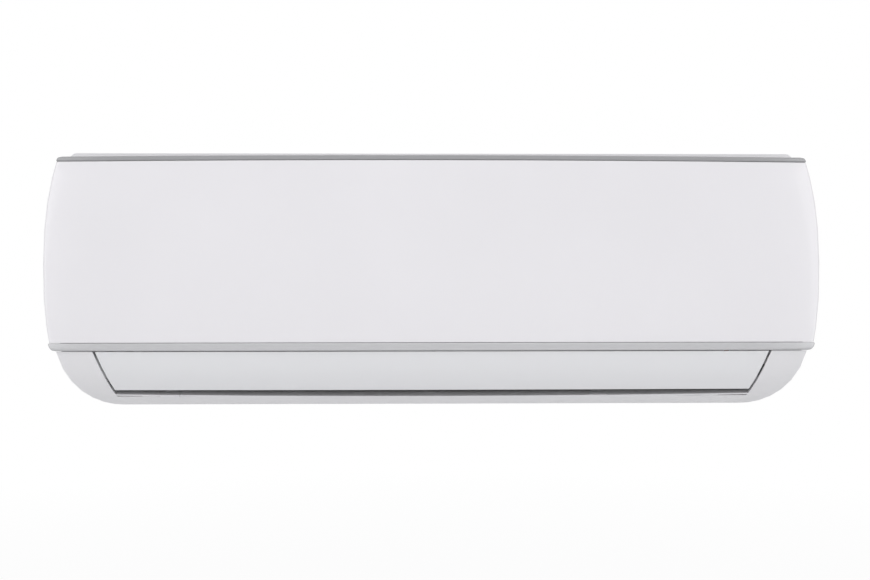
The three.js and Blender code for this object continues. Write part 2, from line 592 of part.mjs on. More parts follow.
function frontFrame() {
  const outer = frameVolume(0, FRAME_BACK);
  const shell = cut(outer, frameVolume(WALL, FRAME_BACK + 10));
  const openHalf = FILTER_OPENING_HALF;
  const filterOpening = block(-openHalf, -240, 84, openHalf, -184, 286);
  const bottomOpening = block(-openHalf + 1, FRAME_BOTTOM_BACK, -5, openHalf - 1, 0, 6);
  const openShell = cut(shell, filterOpening, outletOpening(), bottomOpening);
  const ledge = prismX(thickLine([[-205, 83.2], [-187, 83.2], [-187, 112]], WALL), -openHalf - 1,
    openHalf + 1);
  const outletRoof = prismX(thickLine([[-212, 71.8], [-188.5, 78.8]], WALL), -OUTLET_SIDE, OUTLET_SIDE);
  const lip = prismX(thickLine(LIP_LINE, WALL), -OUTLET_SIDE, OUTLET_SIDE);
  const linerOutline = [[-205, 82], [-205, SHELF_HEIGHT - 1], [-174, SHELF_HEIGHT - 1], [-174, 318.5],
    [-60, 318.5],
    ...arcPoints(LINER_INNER, 112, 312).reverse(), [-186.4, 112], [-186.4, 82]];
  const outletSide = [[-150, 24], [-150, 78], [-186, 78], [-192, 70], [-191, 58], [-187, 47], [-183, 38],
    [-179, 30],
    [-172, 21], [-168, 16]];
  const sides = SIDES.flatMap(({ sign }) => {
    const [near, far] = [openHalf, openHalf + WALL];
    const rail = arcBand(RAIL_INNER, RAIL_OUTER, 93, 318);
    const keeper = arcBand(KEEPER_INNER, KEEPER_INNER + 2, 200, 270);
    return [
      prismX(linerOutline, ...spanX(sign, near, far)),
      prismX(rail, ...spanX(sign, FILTER_HALF - 6, far)),
      prismX(keeper, ...spanX(sign, FILTER_HALF - 2, far)),
      prismX(outletSide, ...spanX(sign, OUTLET_SIDE, OUTLET_SIDE + WALL)),
    ];
  });
  const mullion = [
    prismX(arcBand(RAIL_INNER, RAIL_OUTER, 93, 318), -10, 10),
    prismX(arcBand(RAIL_INNER, KEEPER_INNER + 2, 115, 290), -1, 1),
    prismX(arcBand(KEEPER_INNER, KEEPER_INNER + 2, 125, 280), -8, 8),
    block(-10, -196, 84, 10, -186.2, 111),
  ];
  const cups = SCREW_XS.map(screwCup);
  const aboveLip = [[-186, 12], [-180, LIP_TOP], [FLOOR_FRONT[0], FLOOR_FRONT[1] + 1.3], [-150, 60],
    [-186, 60]];
  const cupBodies = cut(join(...cups.map(({ outer: cup }) => cup)), prismX(aboveLip, -450, 450));
  const capHoles = SCREW_XS.map((x) => solidBox(
    CAP_WIDTH + 2 * CAP_CLEARANCE, CAP_LENGTH + 2 * CAP_CLEARANCE, 4.6, capPlace(x),
  ));
  const inner = join(ledge, outletRoof, lip, ...sides, ...mullion, cupBodies).intersect(outer);
  const body = cut(
    join(openShell, inner),
    ...grilleSlots(), ...capHoles, ...cups.map(({ hollow }) => hollow),
    ...SCREW_XS.map((x) => rodY(2.2, CUP_BACK - 3, CUP_BACK + 1, x, SCREW_Z, 8)),
    ...SIDES.map(({ sign }) => rodX(
      sign < 0 ? BEARING_COLLAR + GAP : LOUVER_PIN_RADIUS + GAP,
      ...spanX(sign, OUTLET_SIDE - 1, OUTLET_SIDE + WALL + 1), LOUVER_PIVOT_Y, LOUVER_PIVOT_Z, 12,
    )),
  );
  return join(body, ...SIDES.map(({ sign }) => hingeBrackets(sign)));
}

// Box centred on a frame of its own.
function solidBox(width, depth, height, place) {
  return solid(new THREE.BoxGeometry(width, depth, height).applyMatrix4(place));
}

function capPlace(x, lift = 0) {
  const y = (LIP_LINE[0][0] + LIP_LINE[1][0]) / 2;
  const z = (LIP_LINE[0][1] + LIP_LINE[1][1]) / 2 + WALL / 2 / Math.cos(FLOOR_SLOPE);
  const slope = Math.atan2(LIP_LINE[1][1] - LIP_LINE[0][1], LIP_LINE[1][0] - LIP_LINE[0][0]);
  return new THREE.Matrix4().makeTranslation(x, y, z)
    .multiply(new THREE.Matrix4().makeRotationX(slope))
    .multiply(new THREE.Matrix4().makeTranslation(0, 0, lift));
}

piece('front_frame', frontFrame(), WHITE_PLASTIC);

// ---- Front panel with its two trims ----

const PANEL_BACK = FRAME_FRONT - GAP;
const PANEL_LEVELS = [PANEL_BOTTOM, 100, 135, WAIST_HEIGHT, 220, 255, 285, PANEL_TOP];

function panelVolume(inset, back) {
  return loft(PANEL_LEVELS.map((z) => planRing(
    THREE.MathUtils.clamp(z, PANEL_BOTTOM + inset, PANEL_TOP - inset),
    { half: panelHalfWidth(z) - inset, front: panelFront(z) + inset, back, radius: EDGE_RADIUS,
      bowedBack: true },
  )), flatXY);
}

function frontPanel() {
  const shell = cut(panelVolume(0, PANEL_BACK), panelVolume(PANEL_WALL, PANEL_BACK + 10));
  const arm = [[HINGE_Y - 8.5, HINGE_Z - 4], [HINGE_Y - 8.5, HINGE_Z + 6.5], [HINGE_Y - 2, HINGE_Z + 6.5],
    [HINGE_Y + 3.5, HINGE_Z + 3], [HINGE_Y + 4, HINGE_Z], [HINGE_Y + 2, HINGE_Z - 4]];
  const arms = SIDES.flatMap(({ sign }) => {
    const near = HINGE_BRACKET_X - 6;
    return [
      prismX(arm, ...spanX(sign, near, HINGE_BRACKET_X - 1.5)),
      rodX(HINGE_PIN_RADIUS, ...spanX(sign, near, HINGE_BRACKET_X + HINGE_BRACKET_WIDTH + 2), HINGE_Y,
        HINGE_Z, 12),
    ];
  });
  return join(shell, ...arms);
}

// Strip that follows the front's plan, with its long edges slightly rounded.
function trimStrip(bottom, height, half, front, back) {
  const ease = 1;
  const levels = [[0, ease], [ease, 0], [height - ease, 0], [height, ease]];
  return loft(levels.map(([rise, inset]) => planRing(bottom + rise, {
    half: half - inset, front: front + inset, back: back - inset, radius: EDGE_RADIUS - 1, bowedBack: true,
  })), flatXY);
}

piece('front_panel', frontPanel(), WHITE_GLOSS);
piece('panel_top_trim', trimStrip(
  PANEL_TOP + GAP, TOP_TRIM_HEIGHT, panelHalfWidth(PANEL_TOP) - 0.5, panelFront(PANEL_TOP) - 0.8,
    PANEL_BACK,
), TRIM_GREY);
piece('panel_bottom_trim', trimStrip(
  PANEL_BOTTOM - GAP - BOTTOM_TRIM_HEIGHT, BOTTOM_TRIM_HEIGHT, BOTTOM_TRIM_HALF, -UNIT_DEPTH,
    PANEL_BACK - 0.6,
), TRIM_SILVER);

// ---- Louver, its bearing and its motor ----

const LOUVER_LEVELS = [LOUVER_BOTTOM, 28, 37, 50, LOUVER_TOP];
const LOUVER_ARM = [DUCT_HALF - 4, DUCT_HALF];
const LOUVER_PIN_END = OUTLET_SIDE + 6;
const STEPPER_RADIUS = 13;
const STEPPER_OFFSET = [6, 8];
const STEPPER_LENGTH = 18;

function louver() {
  const blade = loft(LOUVER_LEVELS.map((z) => planRing(z, {
    half: louverHalf(z), front: lowerFront(z), back: lowerFront(z) + LOUVER_DEPTH, radius: 2,
      bowedBack: true,
  })), flatXY);
  const arm = (reach) => [[LOUVER_PIVOT_Y - reach, 25], [LOUVER_PIVOT_Y - reach - 3, 40],
    [LOUVER_PIVOT_Y, LOUVER_PIVOT_Z + 5], [LOUVER_PIVOT_Y + 4, LOUVER_PIVOT_Z + 2],
    [LOUVER_PIVOT_Y + 4, LOUVER_PIVOT_Z - 2.5], [LOUVER_PIVOT_Y, LOUVER_PIVOT_Z - 4]];
  const ends = SIDES.flatMap(({ sign }) => [
    prismX(arm(6), ...spanX(sign, ...LOUVER_ARM)),
    rodX(LOUVER_PIN_RADIUS, ...spanX(sign, LOUVER_ARM[0], LOUVER_PIN_END), LOUVER_PIVOT_Y, LOUVER_PIVOT_Z,
      12),
  ]);
  const middle = SIDES.map(({ sign }) => prismX(arm(13), ...spanX(sign, 3, 6)));
  const middlePin = rodX(LOUVER_PIN_RADIUS, -6, 6, LOUVER_PIVOT_Y, LOUVER_PIVOT_Z, 12);
  return join(blade, ...ends, ...middle, middlePin);
}

function louverMotor() {
  const start = OUTLET_SIDE + WALL + GAP;
  const y = LOUVER_PIVOT_Y + STEPPER_OFFSET[0];
  const z = LOUVER_PIVOT_Z + STEPPER_OFFSET[1];
  const body = rodX(STEPPER_RADIUS, start, start + STEPPER_LENGTH, y, z, 20);
  const ears = join(
    prismX(box2(y, z - 4, y + 18, z + 4), start, start + 2),
    prismX(box2(y - 4, z, y + 4, z + 18), start, start + 2),
  );
  return cut(join(body, ears), rodX(
    LOUVER_PIN_RADIUS + GAP, start - 1, LOUVER_PIN_END + 1, LOUVER_PIVOT_Y, LOUVER_PIVOT_Z, 12,
  ));
}

function louverBearing() {
  const start = -OUTLET_SIDE - WALL - GAP;
  const flange = rodX(BEARING_COLLAR + 1, start - 2, start, LOUVER_PIVOT_Y, LOUVER_PIVOT_Z, 16);
  const collar = rodX(BEARING_COLLAR, start - 4, start + 2, LOUVER_PIVOT_Y, LOUVER_PIVOT_Z, 16);
  return cut(join(flange, collar), rodX(
    LOUVER_PIN_RADIUS + GAP, start - 5, start + 5, LOUVER_PIVOT_Y, LOUVER_PIVOT_Z, 12,
  ));
}

piece('louver', louver(), LOUVER_WHITE);
piece('louver_motor', louverMotor(), STEEL);
piece('louver_bearing', louverBearing(), WHITE_PLASTIC);

// ---- Vertical vanes and the bars that link each group ----

const LINK_HOLE = [2.2, 6];

// One vane in its own frame: X across the duct, Y along the outlet floor to the rear, Z square to it.
function vane() {
  const outline = [[27, 2], [27, VANE_HEIGHT - 2], [25, VANE_HEIGHT], [6, VANE_HEIGHT], [-12,
    VANE_HEIGHT + 3], [-17, VANE_HEIGHT - 10],
    [-24, 4], [-24, 2]];
  const fin = prismX(outline, -VANE_THICKNESS / 2, VANE_THICKNESS / 2);
  const pin = rodZ(VANE_PIN_RADIUS, -WALL, 6, 0, 0, 6);
  const crankPin = rodZ(1.2, VANE_HEIGHT - 6, VANE_HEIGHT + 4, 0, VANE_CRANK, 6);
  return join(fin, pin, crankPin);
}

function vaneLink(xs) {
  const low = VANE_HEIGHT + 0.6;
  const outline = box2(xs[0] - 8, VANE_CRANK - LINK_WIDTH / 2 - 1, xs.at(-1) + 8,
    VANE_CRANK + LINK_WIDTH / 2 - 1);
  const bar = prismZ(outline, low, low + LINK_THICKNESS);
  const [halfX, reach] = LINK_HOLE;
  const slots = xs.map((x) => prismZ(
    box2(x - halfX, VANE_CRANK - reach + 0.8, x + halfX, VANE_CRANK + 2.4), low - 1,
      low + LINK_THICKNESS + 1,
  ));
  const tab = prismZ(box2(xs[2] + 24, VANE_CRANK - LINK_WIDTH / 2 - 12, xs[2] + 42, VANE_CRANK - 4), low,
    low + 1.6);
  return cut(join(bar, tab), ...slots);
}

const vaneFin = vane();
SIDES.forEach(({ side, sign }, group) => {
  const xs = [...vaneSide[group]].sort((a, b) => a - b);
  xs.forEach((x, i) => piece(`vane_${side}_${i + 1}`, vaneFin, LOUVER_WHITE, vanePlace(x)));
  const middle = sign * (VANE_FIRST_X + (VANE_PITCH * (VANES_PER_GROUP - 1)) / 2);
  piece(`vane_link_${side}`, vaneLink(xs.map((x) => x - middle)), LOUVER_WHITE, vanePlace(middle));
});

// ---- Screw caps and the screws under them ----

const CAP_THICKNESS = 2;

function screwCap() {
  const plug = new THREE.BoxGeometry(CAP_WIDTH, CAP_LENGTH, CAP_THICKNESS).translate(0, 0,
    -CAP_THICKNESS / 2 + 0.3);
  const recess = new THREE.BoxGeometry(CAP_WIDTH - 8, CAP_LENGTH / 3, 1).translate(0, CAP_LENGTH / 5, 0.3);
  return cut(solid(plug), solid(recess));
}

function frameScrew(x) {
  const seat = CUP_BACK - CUP_WALL - GAP;
  return join(rodY(3.4, seat - 2.2, seat, x, SCREW_Z, 12), rodY(1.8, seat - 1, BOSS.back - 4, x, SCREW_Z,
    8));
}

SIDES.forEach(({ side }, i) => {
  piece(`screw_cap_${side}`, screwCap(), WHITE_PLASTIC, capPlace(SCREW_XS[i]));
  piece(`frame_screw_${side}`, frameScrew(SCREW_XS[i]), STEEL);
});

// ---- Filters ----

function filter(x0, x1) {
  const inner = ARC_RADIUS - FILTER_THICKNESS / 2;
  const outer = ARC_RADIUS + FILTER_THICKNESS / 2;
  const edge = 9;
  const rib = 3;
  const third = (x1 - x0) / 3;
  const net = prismX(arcBand(inner, inner + NET_THICKNESS, FILTER_BOTTOM, FILTER_TOP), x0, x1);
  const upright = (x, width) => prismX(arcBand(inner, outer, FILTER_BOTTOM, FILTER_TOP), x, x + width);
  const bar = (z, height) => prismX(arcBand(inner, outer, z, z + height), x0, x1);
  const middle = (x0 + x1) / 2;
  const tab = prismX(arcBand(outer - 1, outer + 4, FILTER_BOTTOM + 1, FILTER_BOTTOM + 7), middle - 20,
    middle + 20);
  return join(
    net, upright(x0, edge), upright(x0 + third, rib), upright(x0 + 2 * third, rib), upright(x1 - edge,
      edge),
    bar(FILTER_BOTTOM, edge), bar(183, rib), bar(246, rib), bar(FILTER_TOP - 5, 5), tab,
  );
}

piece('filter_left', filter(-FILTER_HALF, -3), FILTER_PLASTIC);
piece('filter_right', filter(3, FILTER_HALF), FILTER_PLASTIC);

// ---- Evaporator: three finned slabs on two end plates ----

const SLABS = [
  { name: 'evaporator_lower', from: [-179.4, 111], to: [-170, 198] },
  { name: 'evaporator_upper', from: [-164.4, 210.8], to: [-109.8, 276.2] },
  { name: 'evaporator_rear', from: [-73.1, 274.1], to: [-29, 207] },
];
const TUBE_ROWS = [6, 16];
const TUBES_PER_ROW = 4;

// Corners of a slab, and the places of its tubes, in (y, z). Rows are counted from its outer face.
function slabPoint({ from, to }, share, depth) {
  const length = Math.hypot(to[0] - from[0], to[1] - from[1]);
  const [u, v] = [(to[0] - from[0]) / length, (to[1] - from[1]) / length];
  return [from[0] + u * length * share + v * depth, from[1] + v * length * share - u * depth];
}

const tubePlace = (slab, row, tube) => slabPoint(slab, (tube + 0.5) / TUBES_PER_ROW, TUBE_ROWS[row]);

function returnBend(face, sign, [y0, z0], [y1, z1]) {
  const radius = Math.hypot(y1 - y0, z1 - z0) / 2;
  const stub = 3;
  const steps = 4;
  const arc = Array.from({ length: steps + 1 }, (_, i) => {
    const angle = (Math.PI * i) / steps;
    const share = (1 - Math.cos(angle)) / 2;
    const x = face + sign * (stub + radius * Math.sin(angle));
    return new THREE.Vector3(x, y0 + (y1 - y0) * share, z0 + (z1 - z0) * share);
  });
  const path = [new THREE.Vector3(face - sign, y0, z0), ...arc, new THREE.Vector3(face - sign, y1, z1)];
  return bendLoft(path, new THREE.Vector3(0, -(z1 - z0), y1 - y0).normalize());
}

// Tube in one plane, given the direction square to that plane.
function bendLoft(path, across) {
  const sides = 5;
  const rings = path.map((point, i) => {
    const ahead = path[Math.min(i + 1, path.length - 1)].clone().sub(path[Math.max(i - 1, 0)]).normalize();
    const other = new THREE.Vector3().crossVectors(across, ahead).normalize();
    return Array.from({ length: sides }, (_, k) => {
      const angle = (2 * Math.PI * (k + 0.5)) / sides;
      return point.clone()
        .addScaledVector(across, TUBE_RADIUS * Math.cos(angle))
        .addScaledVector(other, TUBE_RADIUS * Math.sin(angle));
    });
  });
  return loft(rings, flatYZ);
}

// The first tube of each row of the rear slab is left open on the right for the two pipes.
function slabBends(slab) {
  const left = [0, 1].flatMap((row) => [0, 2].map((tube) => (
    returnBend(COIL_LEFT, -1, tubePlace(slab, row, tube), tubePlace(slab, row, tube + 1))
  )));
  const right = [0, 1].map((row) => returnBend(COIL_RIGHT, 1, tubePlace(slab, row, 1), tubePlace(slab,
    row, 2)));
  const across = (slab === SLABS[2] ? [3] : [0, 3]).map((tube) => returnBend(COIL_RIGHT, 1,
    tubePlace(slab, 0, tube), tubePlace(slab, 1, tube)));
  return [...left, ...right, ...across];
}

SLABS.forEach((slab) => {
  const outline = [[0, 0], [1, 0], [1, COIL_THICKNESS], [0, COIL_THICKNESS]].map(
    ([share, depth]) => slabPoint(slab, share, depth),
  );
  piece(slab.name, join(prismX(outline, COIL_LEFT, COIL_RIGHT), ...slabBends(slab)), ALUMINIUM);
});

function endPlate(face, sign) {
  const [x0, x1] = sign < 0 ? [face - GAP - END_PLATE, face - GAP] : [face + GAP, face + GAP + END_PLATE];
  const line = [slabPoint(SLABS[0], -0.06, 11), slabPoint(SLABS[0], 1.02, 11), slabPoint(SLABS[1], 0.99, 9),
    slabPoint(SLABS[2], 0, 9), slabPoint(SLABS[2], 0.99, 11)];
  const holes = SLABS.flatMap((slab) => [0, 1].flatMap((row) => (
    Array.from({ length: TUBES_PER_ROW }, (_, tube) => (
      rodX((TUBE_RADIUS + GAP) * Math.SQRT2, x0 - 1, x1 + 1, ...tubePlace(slab, row, tube), 4)
    ))
  )));
  return cut(prismX(thickLine(line, COIL_THICKNESS), x0, x1), ...holes);
}

piece('coil_end_plate_left', endPlate(COIL_LEFT, -1), STEEL);
piece('coil_end_plate_right', endPlate(COIL_RIGHT, 1), STEEL);

// ---- Drain pan with the fan's stabiliser, its spout and its plug ----

const PAN_HALF = 400;
const PAN_BACK = -152.4;
const PAN_FRONT = -185.4;
const SUMP_FRONT = -182.6;
const SUMP_END = 430;
const SPOUT_X = 416;
const SPOUT_Z = 92;
const SPOUT_RADIUS = 8;
const SPOUT_END = -34;

function drainPan() {
  const section = [[-149.8, 119], [PAN_BACK, 119], [-153.4, 111], [-158.5, 102], [-165, 98], [-183, 96],
    [-183.2, 110], [PAN_FRONT, 110], [PAN_FRONT, 81], [-176, 82], [-165, 86], [-157, 93], [-151.5, 103],
      [-149.8, 112]];
  const trough = prismX(section, -PAN_HALF, PAN_HALF);
  const sumps = SIDES.map(({ sign }) => {
    const outer = prismX(box2(SUMP_FRONT, 81, PAN_BACK - 1.6, 108), ...spanX(sign, PAN_HALF - 8, SUMP_END));
    const hollow = prismX(box2(SUMP_FRONT + WALL, 84, PAN_BACK - 4, 115), ...spanX(sign, PAN_HALF - 6,
      SUMP_END - WALL));
    const outlet = rodY(SPOUT_RADIUS + GAP, -160, -150, sign * SPOUT_X, SPOUT_Z, 12);
    return cut(outer, hollow, outlet);
  });
  const channel = prismX(box2(-180.2, 98, -166, 115), -PAN_HALF - 7, PAN_HALF + 7);
  const rib = [[-184, 84], [-166, 84], [-172, 60], [-172, LOUVER_PIVOT_Z], [-176, LOUVER_PIVOT_Z - 5.6],
    [-180, LOUVER_PIVOT_Z - 5.6], [-184, LOUVER_PIVOT_Z], [-184, 60]];
  const post = cut(
    prismX(rib, -2.4, 2.4),
    rodX(LOUVER_PIN_RADIUS + GAP, -3, 3, LOUVER_PIVOT_Y, LOUVER_PIVOT_Z, 12),
  );
  return join(cut(join(trough, ...sumps), channel), post);
}

function drainSpout() {
  const pipeWall = join(
    rodY(SPOUT_RADIUS, PAN_BACK - 3.6, SPOUT_END, -SPOUT_X, SPOUT_Z, 16),
    rodY(SPOUT_RADIUS + 2, PAN_BACK - 1.2, PAN_BACK + 1, -SPOUT_X, SPOUT_Z, 16),
  );
  return cut(pipeWall, rodY(SPOUT_RADIUS - 2.2, PAN_BACK - 5, SPOUT_END + 1, -SPOUT_X, SPOUT_Z, 16));
}

function drainPlug() {
  return join(
    rodY(SPOUT_RADIUS - GAP, PAN_BACK - 4, PAN_BACK, SPOUT_X, SPOUT_Z, 12),
    rodY(SPOUT_RADIUS + 2, PAN_BACK - 1.2, PAN_BACK + 2, SPOUT_X, SPOUT_Z, 12),
  );
}

piece('drain_pan', drainPan(), DUCT_PLASTIC);
piece('drain_spout', drainSpout(), DARK_PLASTIC);
piece('drain_plug', drainPlug(), RUBBER);

// ---- Cross-flow fan, its shaft, bearing, motor and clamp ----

const FAN_RIM_INNER = 36;
const FAN_DISC = 2.4;
const HUB_RADIUS = 11;
const HUB_LENGTH = 16;
const STUB_END = -410;

function crossFlowFan() {
  const pitch = (FAN_RIGHT - FAN_LEFT - FAN_DISC) / FAN_SECTIONS;
  const sides = 18;
  const ring = cut(
    rodX(FAN_RADIUS, 0, FAN_DISC, FAN_Y, FAN_Z, sides),
    rodX(FAN_RIM_INNER, -1, FAN_DISC + 1, FAN_Y, FAN_Z, sides),
  );
  const rings = Array.from({ length: FAN_SECTIONS - 1 }, (_, i) => ring.translate(FAN_LEFT + pitch * (i + 1), 0, 0));
  const ends = [FAN_LEFT, FAN_RIGHT - FAN_DISC].map((x) => rodX(FAN_RADIUS, x, x + FAN_DISC, FAN_Y, FAN_Z,
    sides));
  const blades = Array.from({ length: FAN_BLADES }, (_, i) => {
    const turn = (360 * i) / FAN_BLADES;
    const line = [[FAN_RIM_INNER + 1.5, 7], [FAN_RADIUS - 2.5, -5]].map(
      ([radius, lean]) => fanPoint(radius, turn + lean),
    );
    return prismX(thickLine(line, 1.6), FAN_LEFT + 1, FAN_RIGHT - 1);
  });
  const stub = rodX(SHAFT_RADIUS, STUB_END, FAN_LEFT + 1, FAN_Y, FAN_Z, 12);
  const hub = rodX(HUB_RADIUS, FAN_RIGHT - HUB_LENGTH, FAN_RIGHT, FAN_Y, FAN_Z, 16);
  return cut(
    join(...ends, ...rings, ...blades, stub, hub),
    rodX(SHAFT_RADIUS + GAP, FAN_RIGHT - HUB_LENGTH + 2, FAN_RIGHT + 1, FAN_Y, FAN_Z, 12),
  );
}

function fanMotor() {
  const shell = join(
    rodX(MOTOR_RADIUS, MOTOR_LEFT + 4, MOTOR_RIGHT - 4, FAN_Y, FAN_Z, 24),
    rodX(MOTOR_RADIUS - 6, MOTOR_LEFT + 1, MOTOR_RIGHT - 1, FAN_Y, FAN_Z, 24),
    rodX(14, MOTOR_LEFT, MOTOR_RIGHT, FAN_Y, FAN_Z, 12),
  );
  return cut(shell, rodX(SHAFT_RADIUS + GAP, MOTOR_LEFT - 1, MOTOR_RIGHT - 8, FAN_Y, FAN_Z, 12));
}

function motorClamp() {
  const inner = MOTOR_RADIUS + CRADLE_CLEARANCE;
  const steps = 12;
  const half = (radius) => Array.from({ length: steps + 1 }, (_, i) => (
    [FAN_Y - radius * Math.cos((Math.PI * i) / steps), FAN_Z + GAP + radius * Math.sin((Math.PI * i) / steps)]
  ));
  const strap = prismX([...half(inner + WALL), ...half(inner).reverse()], CRADLE_XS[0],
    CRADLE_XS[1] + CRADLE_WIDTH);
  const feet = [-1, 1].map((sign) => {
    const [y0, y1] = sign < 0 ? [FAN_Y - inner - 7, FAN_Y - inner - 0.1] : [FAN_Y + inner + 0.1,
      FAN_Y + inner + 9];
    return block(CRADLE_XS[0], y0, FAN_Z + GAP, CRADLE_XS[1] + CRADLE_WIDTH, y1, FAN_Z + GAP + WALL);
  });
  return join(strap, ...feet);
}

function fanBearing() {
  const outer = join(
    rodX(BEARING_HOLE - GAP, -DUCT_HALF - WALL - 3, -DUCT_HALF + 2, FAN_Y, FAN_Z, 16),
    rodX(BEARING_HOLE + 3, -DUCT_HALF - WALL - GAP - 2.6, -DUCT_HALF - WALL - GAP, FAN_Y, FAN_Z, 16),
  );
  return cut(outer, rodX(SHAFT_RADIUS + GAP, -DUCT_HALF - WALL - 10, -DUCT_HALF + 3, FAN_Y, FAN_Z, 12));
}

piece('cross_flow_fan', crossFlowFan(), DARK_PLASTIC);
piece('motor_shaft', rodX(SHAFT_RADIUS, FAN_RIGHT - HUB_LENGTH + 3, MOTOR_RIGHT - 9, FAN_Y, FAN_Z, 12),
  STEEL);
piece('fan_bearing', fanBearing(), RUBBER);
piece('fan_motor', fanMotor(), STEEL);
piece('motor_clamp', motorClamp(), DUCT_PLASTIC);

// ---- Control box, board, terminals ----

const TERMINAL_Z = 150;

function controlBox() {
  const outer = block(BOX_LEFT, BOX_FRONT, BOX_BOTTOM, BOX_RIGHT, BOX_BACK, BOX_TOP);
  const hollow = block(BOX_LEFT + 2, BOX_FRONT - 1, BOX_BOTTOM + 2, BOX_RIGHT - 2, BOX_BACK - 2,
    BOX_TOP - 2);
  const apron = block(BOX_LEFT, -153, TERMINAL_Z - 12, BOX_RIGHT, -150.6, BOX_BOTTOM + 1);
  const posts = [BOX_LEFT + 8, BOX_RIGHT - 8].flatMap((x) => [BOX_BOTTOM + 10, BOX_TOP - 10].map((z) => (
    rodY(3, BOX_BACK - 8, BOX_BACK - 1, x, z, 8)
  )));
  return join(cut(outer, hollow), apron, ...posts);
}

function controlBoard() {
  const back = BOX_BACK - 8 - GAP;
  const sheet = block(BOX_LEFT + 3, back - 1.6, BOX_BOTTOM + 4, BOX_RIGHT - 3, back, BOX_TOP - 4);
  const parts = [
    block(BOX_LEFT + 8, back - 22, BOX_TOP - 40, BOX_LEFT + 30, back - 1, BOX_TOP - 12),
    block(BOX_RIGHT - 22, back - 16, BOX_BOTTOM + 20, BOX_RIGHT - 7, back - 1, BOX_BOTTOM + 40),
    rodY(9, back - 34, back - 1, BOX_LEFT + 18, BOX_BOTTOM + 22, 12),
    rodY(5, back - 18, back - 1, BOX_RIGHT - 12, BOX_TOP - 40, 10),
    block(BOX_LEFT + 10, back - 5, BOX_BOTTOM + 48, BOX_LEFT + 28, back - 1, BOX_BOTTOM + 58),
  ];
  return join(sheet, ...parts);
}

function boxCover() {
  const plate = block(BOX_LEFT, BOX_FRONT - GAP - 2, BOX_BOTTOM, BOX_RIGHT, BOX_FRONT - GAP, BOX_TOP);
  const rim = block(BOX_LEFT + 2.4, BOX_FRONT - 1, BOX_BOTTOM + 2.4, BOX_RIGHT - 2.4, BOX_FRONT + 3,
    BOX_TOP - 2.4);
  const hollow = block(BOX_LEFT + 4, BOX_FRONT - GAP, BOX_BOTTOM + 4, BOX_RIGHT - 4, BOX_FRONT + 4,
    BOX_TOP - 4);
  return join(plate, cut(rim, hollow));
}

function terminalBlock() {
  const front = -166;
  const body = block(BOX_LEFT + 4, front, TERMINAL_Z, BOX_RIGHT - 4, -153 - GAP, TERMINAL_Z + 20);
  const wells = [0, 1, 2, 3].map((i) => {
    const x = BOX_LEFT + 10 + i * 11;
    return block(x - 4, front - 1, TERMINAL_Z + 3, x + 4, front + 5, TERMINAL_Z + 17);
  });
  return cut(body, ...wells);
}

function cableClamp() {
  const bridge = block(BOX_LEFT + 8, -164, TERMINAL_Z - 11, BOX_LEFT + 38, -153 - GAP, TERMINAL_Z - 4);
  return cut(bridge, block(BOX_LEFT + 14, -160, TERMINAL_Z - 13, BOX_LEFT + 32, -152, TERMINAL_Z - 2));
}

piece('control_box', controlBox(), DUCT_PLASTIC);
piece('control_board', controlBoard(), BOARD);
piece('control_box_cover', boxCover(), STEEL);
piece('terminal_block', terminalBlock(), DARK_PLASTIC);
piece('cable_clamp', cableClamp(), WHITE_PLASTIC);

// ---- Receiver, test button and room sensor behind the panel ----

const RECEIVER = { left: 410, right: 450, back: -188.3, front: -195.5, bottom: 88, top: 122 };
const BUTTON_X = 443;
const BUTTON_Z = 96;
const BUTTON_RADIUS = 3.6;

function receiverHousing() {
  const { left, right, back, front, bottom, top } = RECEIVER;
  return cut(
    block(left, front, bottom, right, back, top),
    block(left + 4, front - 1, top - 16, left + 26, front + 2.4, top - 4),
    rodY(BUTTON_RADIUS + GAP, front - 1, back + 1, BUTTON_X, BUTTON_Z, 12),
  );
}

piece('receiver_housing', receiverHousing(), WHITE_PLASTIC);
piece('receiver_lens', block(
  RECEIVER.left + 4 + GAP, RECEIVER.front, RECEIVER.top - 16 + GAP,
  RECEIVER.left + 26 - GAP, RECEIVER.front + 2.4 - GAP, RECEIVER.top - 4 - GAP,
), DARK_PLASTIC);
piece('test_button', rodY(
  BUTTON_RADIUS, RECEIVER.front - 2.4, RECEIVER.back - 0.6, BUTTON_X, BUTTON_Z, 12,
), WHITE_PLASTIC);
piece('room_sensor', join(
  rodZ(2, 200, 226, BOX_LEFT + 12, BOX_FRONT - GAP - 5, 8),
  block(BOX_LEFT + 9, BOX_FRONT - GAP - 5, 206, BOX_LEFT + 15, BOX_FRONT - 2 * GAP - 2, 216),
), COPPER);

// ---- Refrigerant pipes, nuts, insulation and the clip that holds them ----

const NUT_X = 40;
const BEND = 22;

// Pipe from the coil's right end, out and down beside the wall, then along the channel behind the outlet.
function refrigerantPipe(radius, [startY, startZ], topZ, downX, channelZ) {
  const corner = (centreZ, fromAngle, y) => [0, 1, 2, 3].map((i) => {
    const angle = THREE.MathUtils.degToRad(fromAngle - 30 * i);
    return new THREE.Vector3(downX - BEND + BEND * Math.cos(angle), y, centreZ + BEND * Math.sin(angle));
  });
  const start = COIL_RIGHT + 2 * GAP + END_PLATE;
  const path = [
    new THREE.Vector3(start, startY, startZ),
    new THREE.Vector3(start + radius, startY, startZ),
    ...corner(topZ - BEND, 90, PIPE_Y - 6),
    ...corner(channelZ + BEND, 0, PIPE_Y),
    new THREE.Vector3(NUT_X, PIPE_Y, channelZ),
  ];
  return pipe(path, radius, 8, flatYZ);
}

function flareNut(radius, z) {
  const nut = rodX(radius + 5, NUT_X - 18, NUT_X + 6, PIPE_Y, z, 6);
  return cut(
    nut,
    rodX(radius + GAP, NUT_X - 2, NUT_X + 7, PIPE_Y, z, 12),
    rodX(radius + 1, NUT_X - 19, NUT_X - 4, PIPE_Y, z, 12),
  );
}

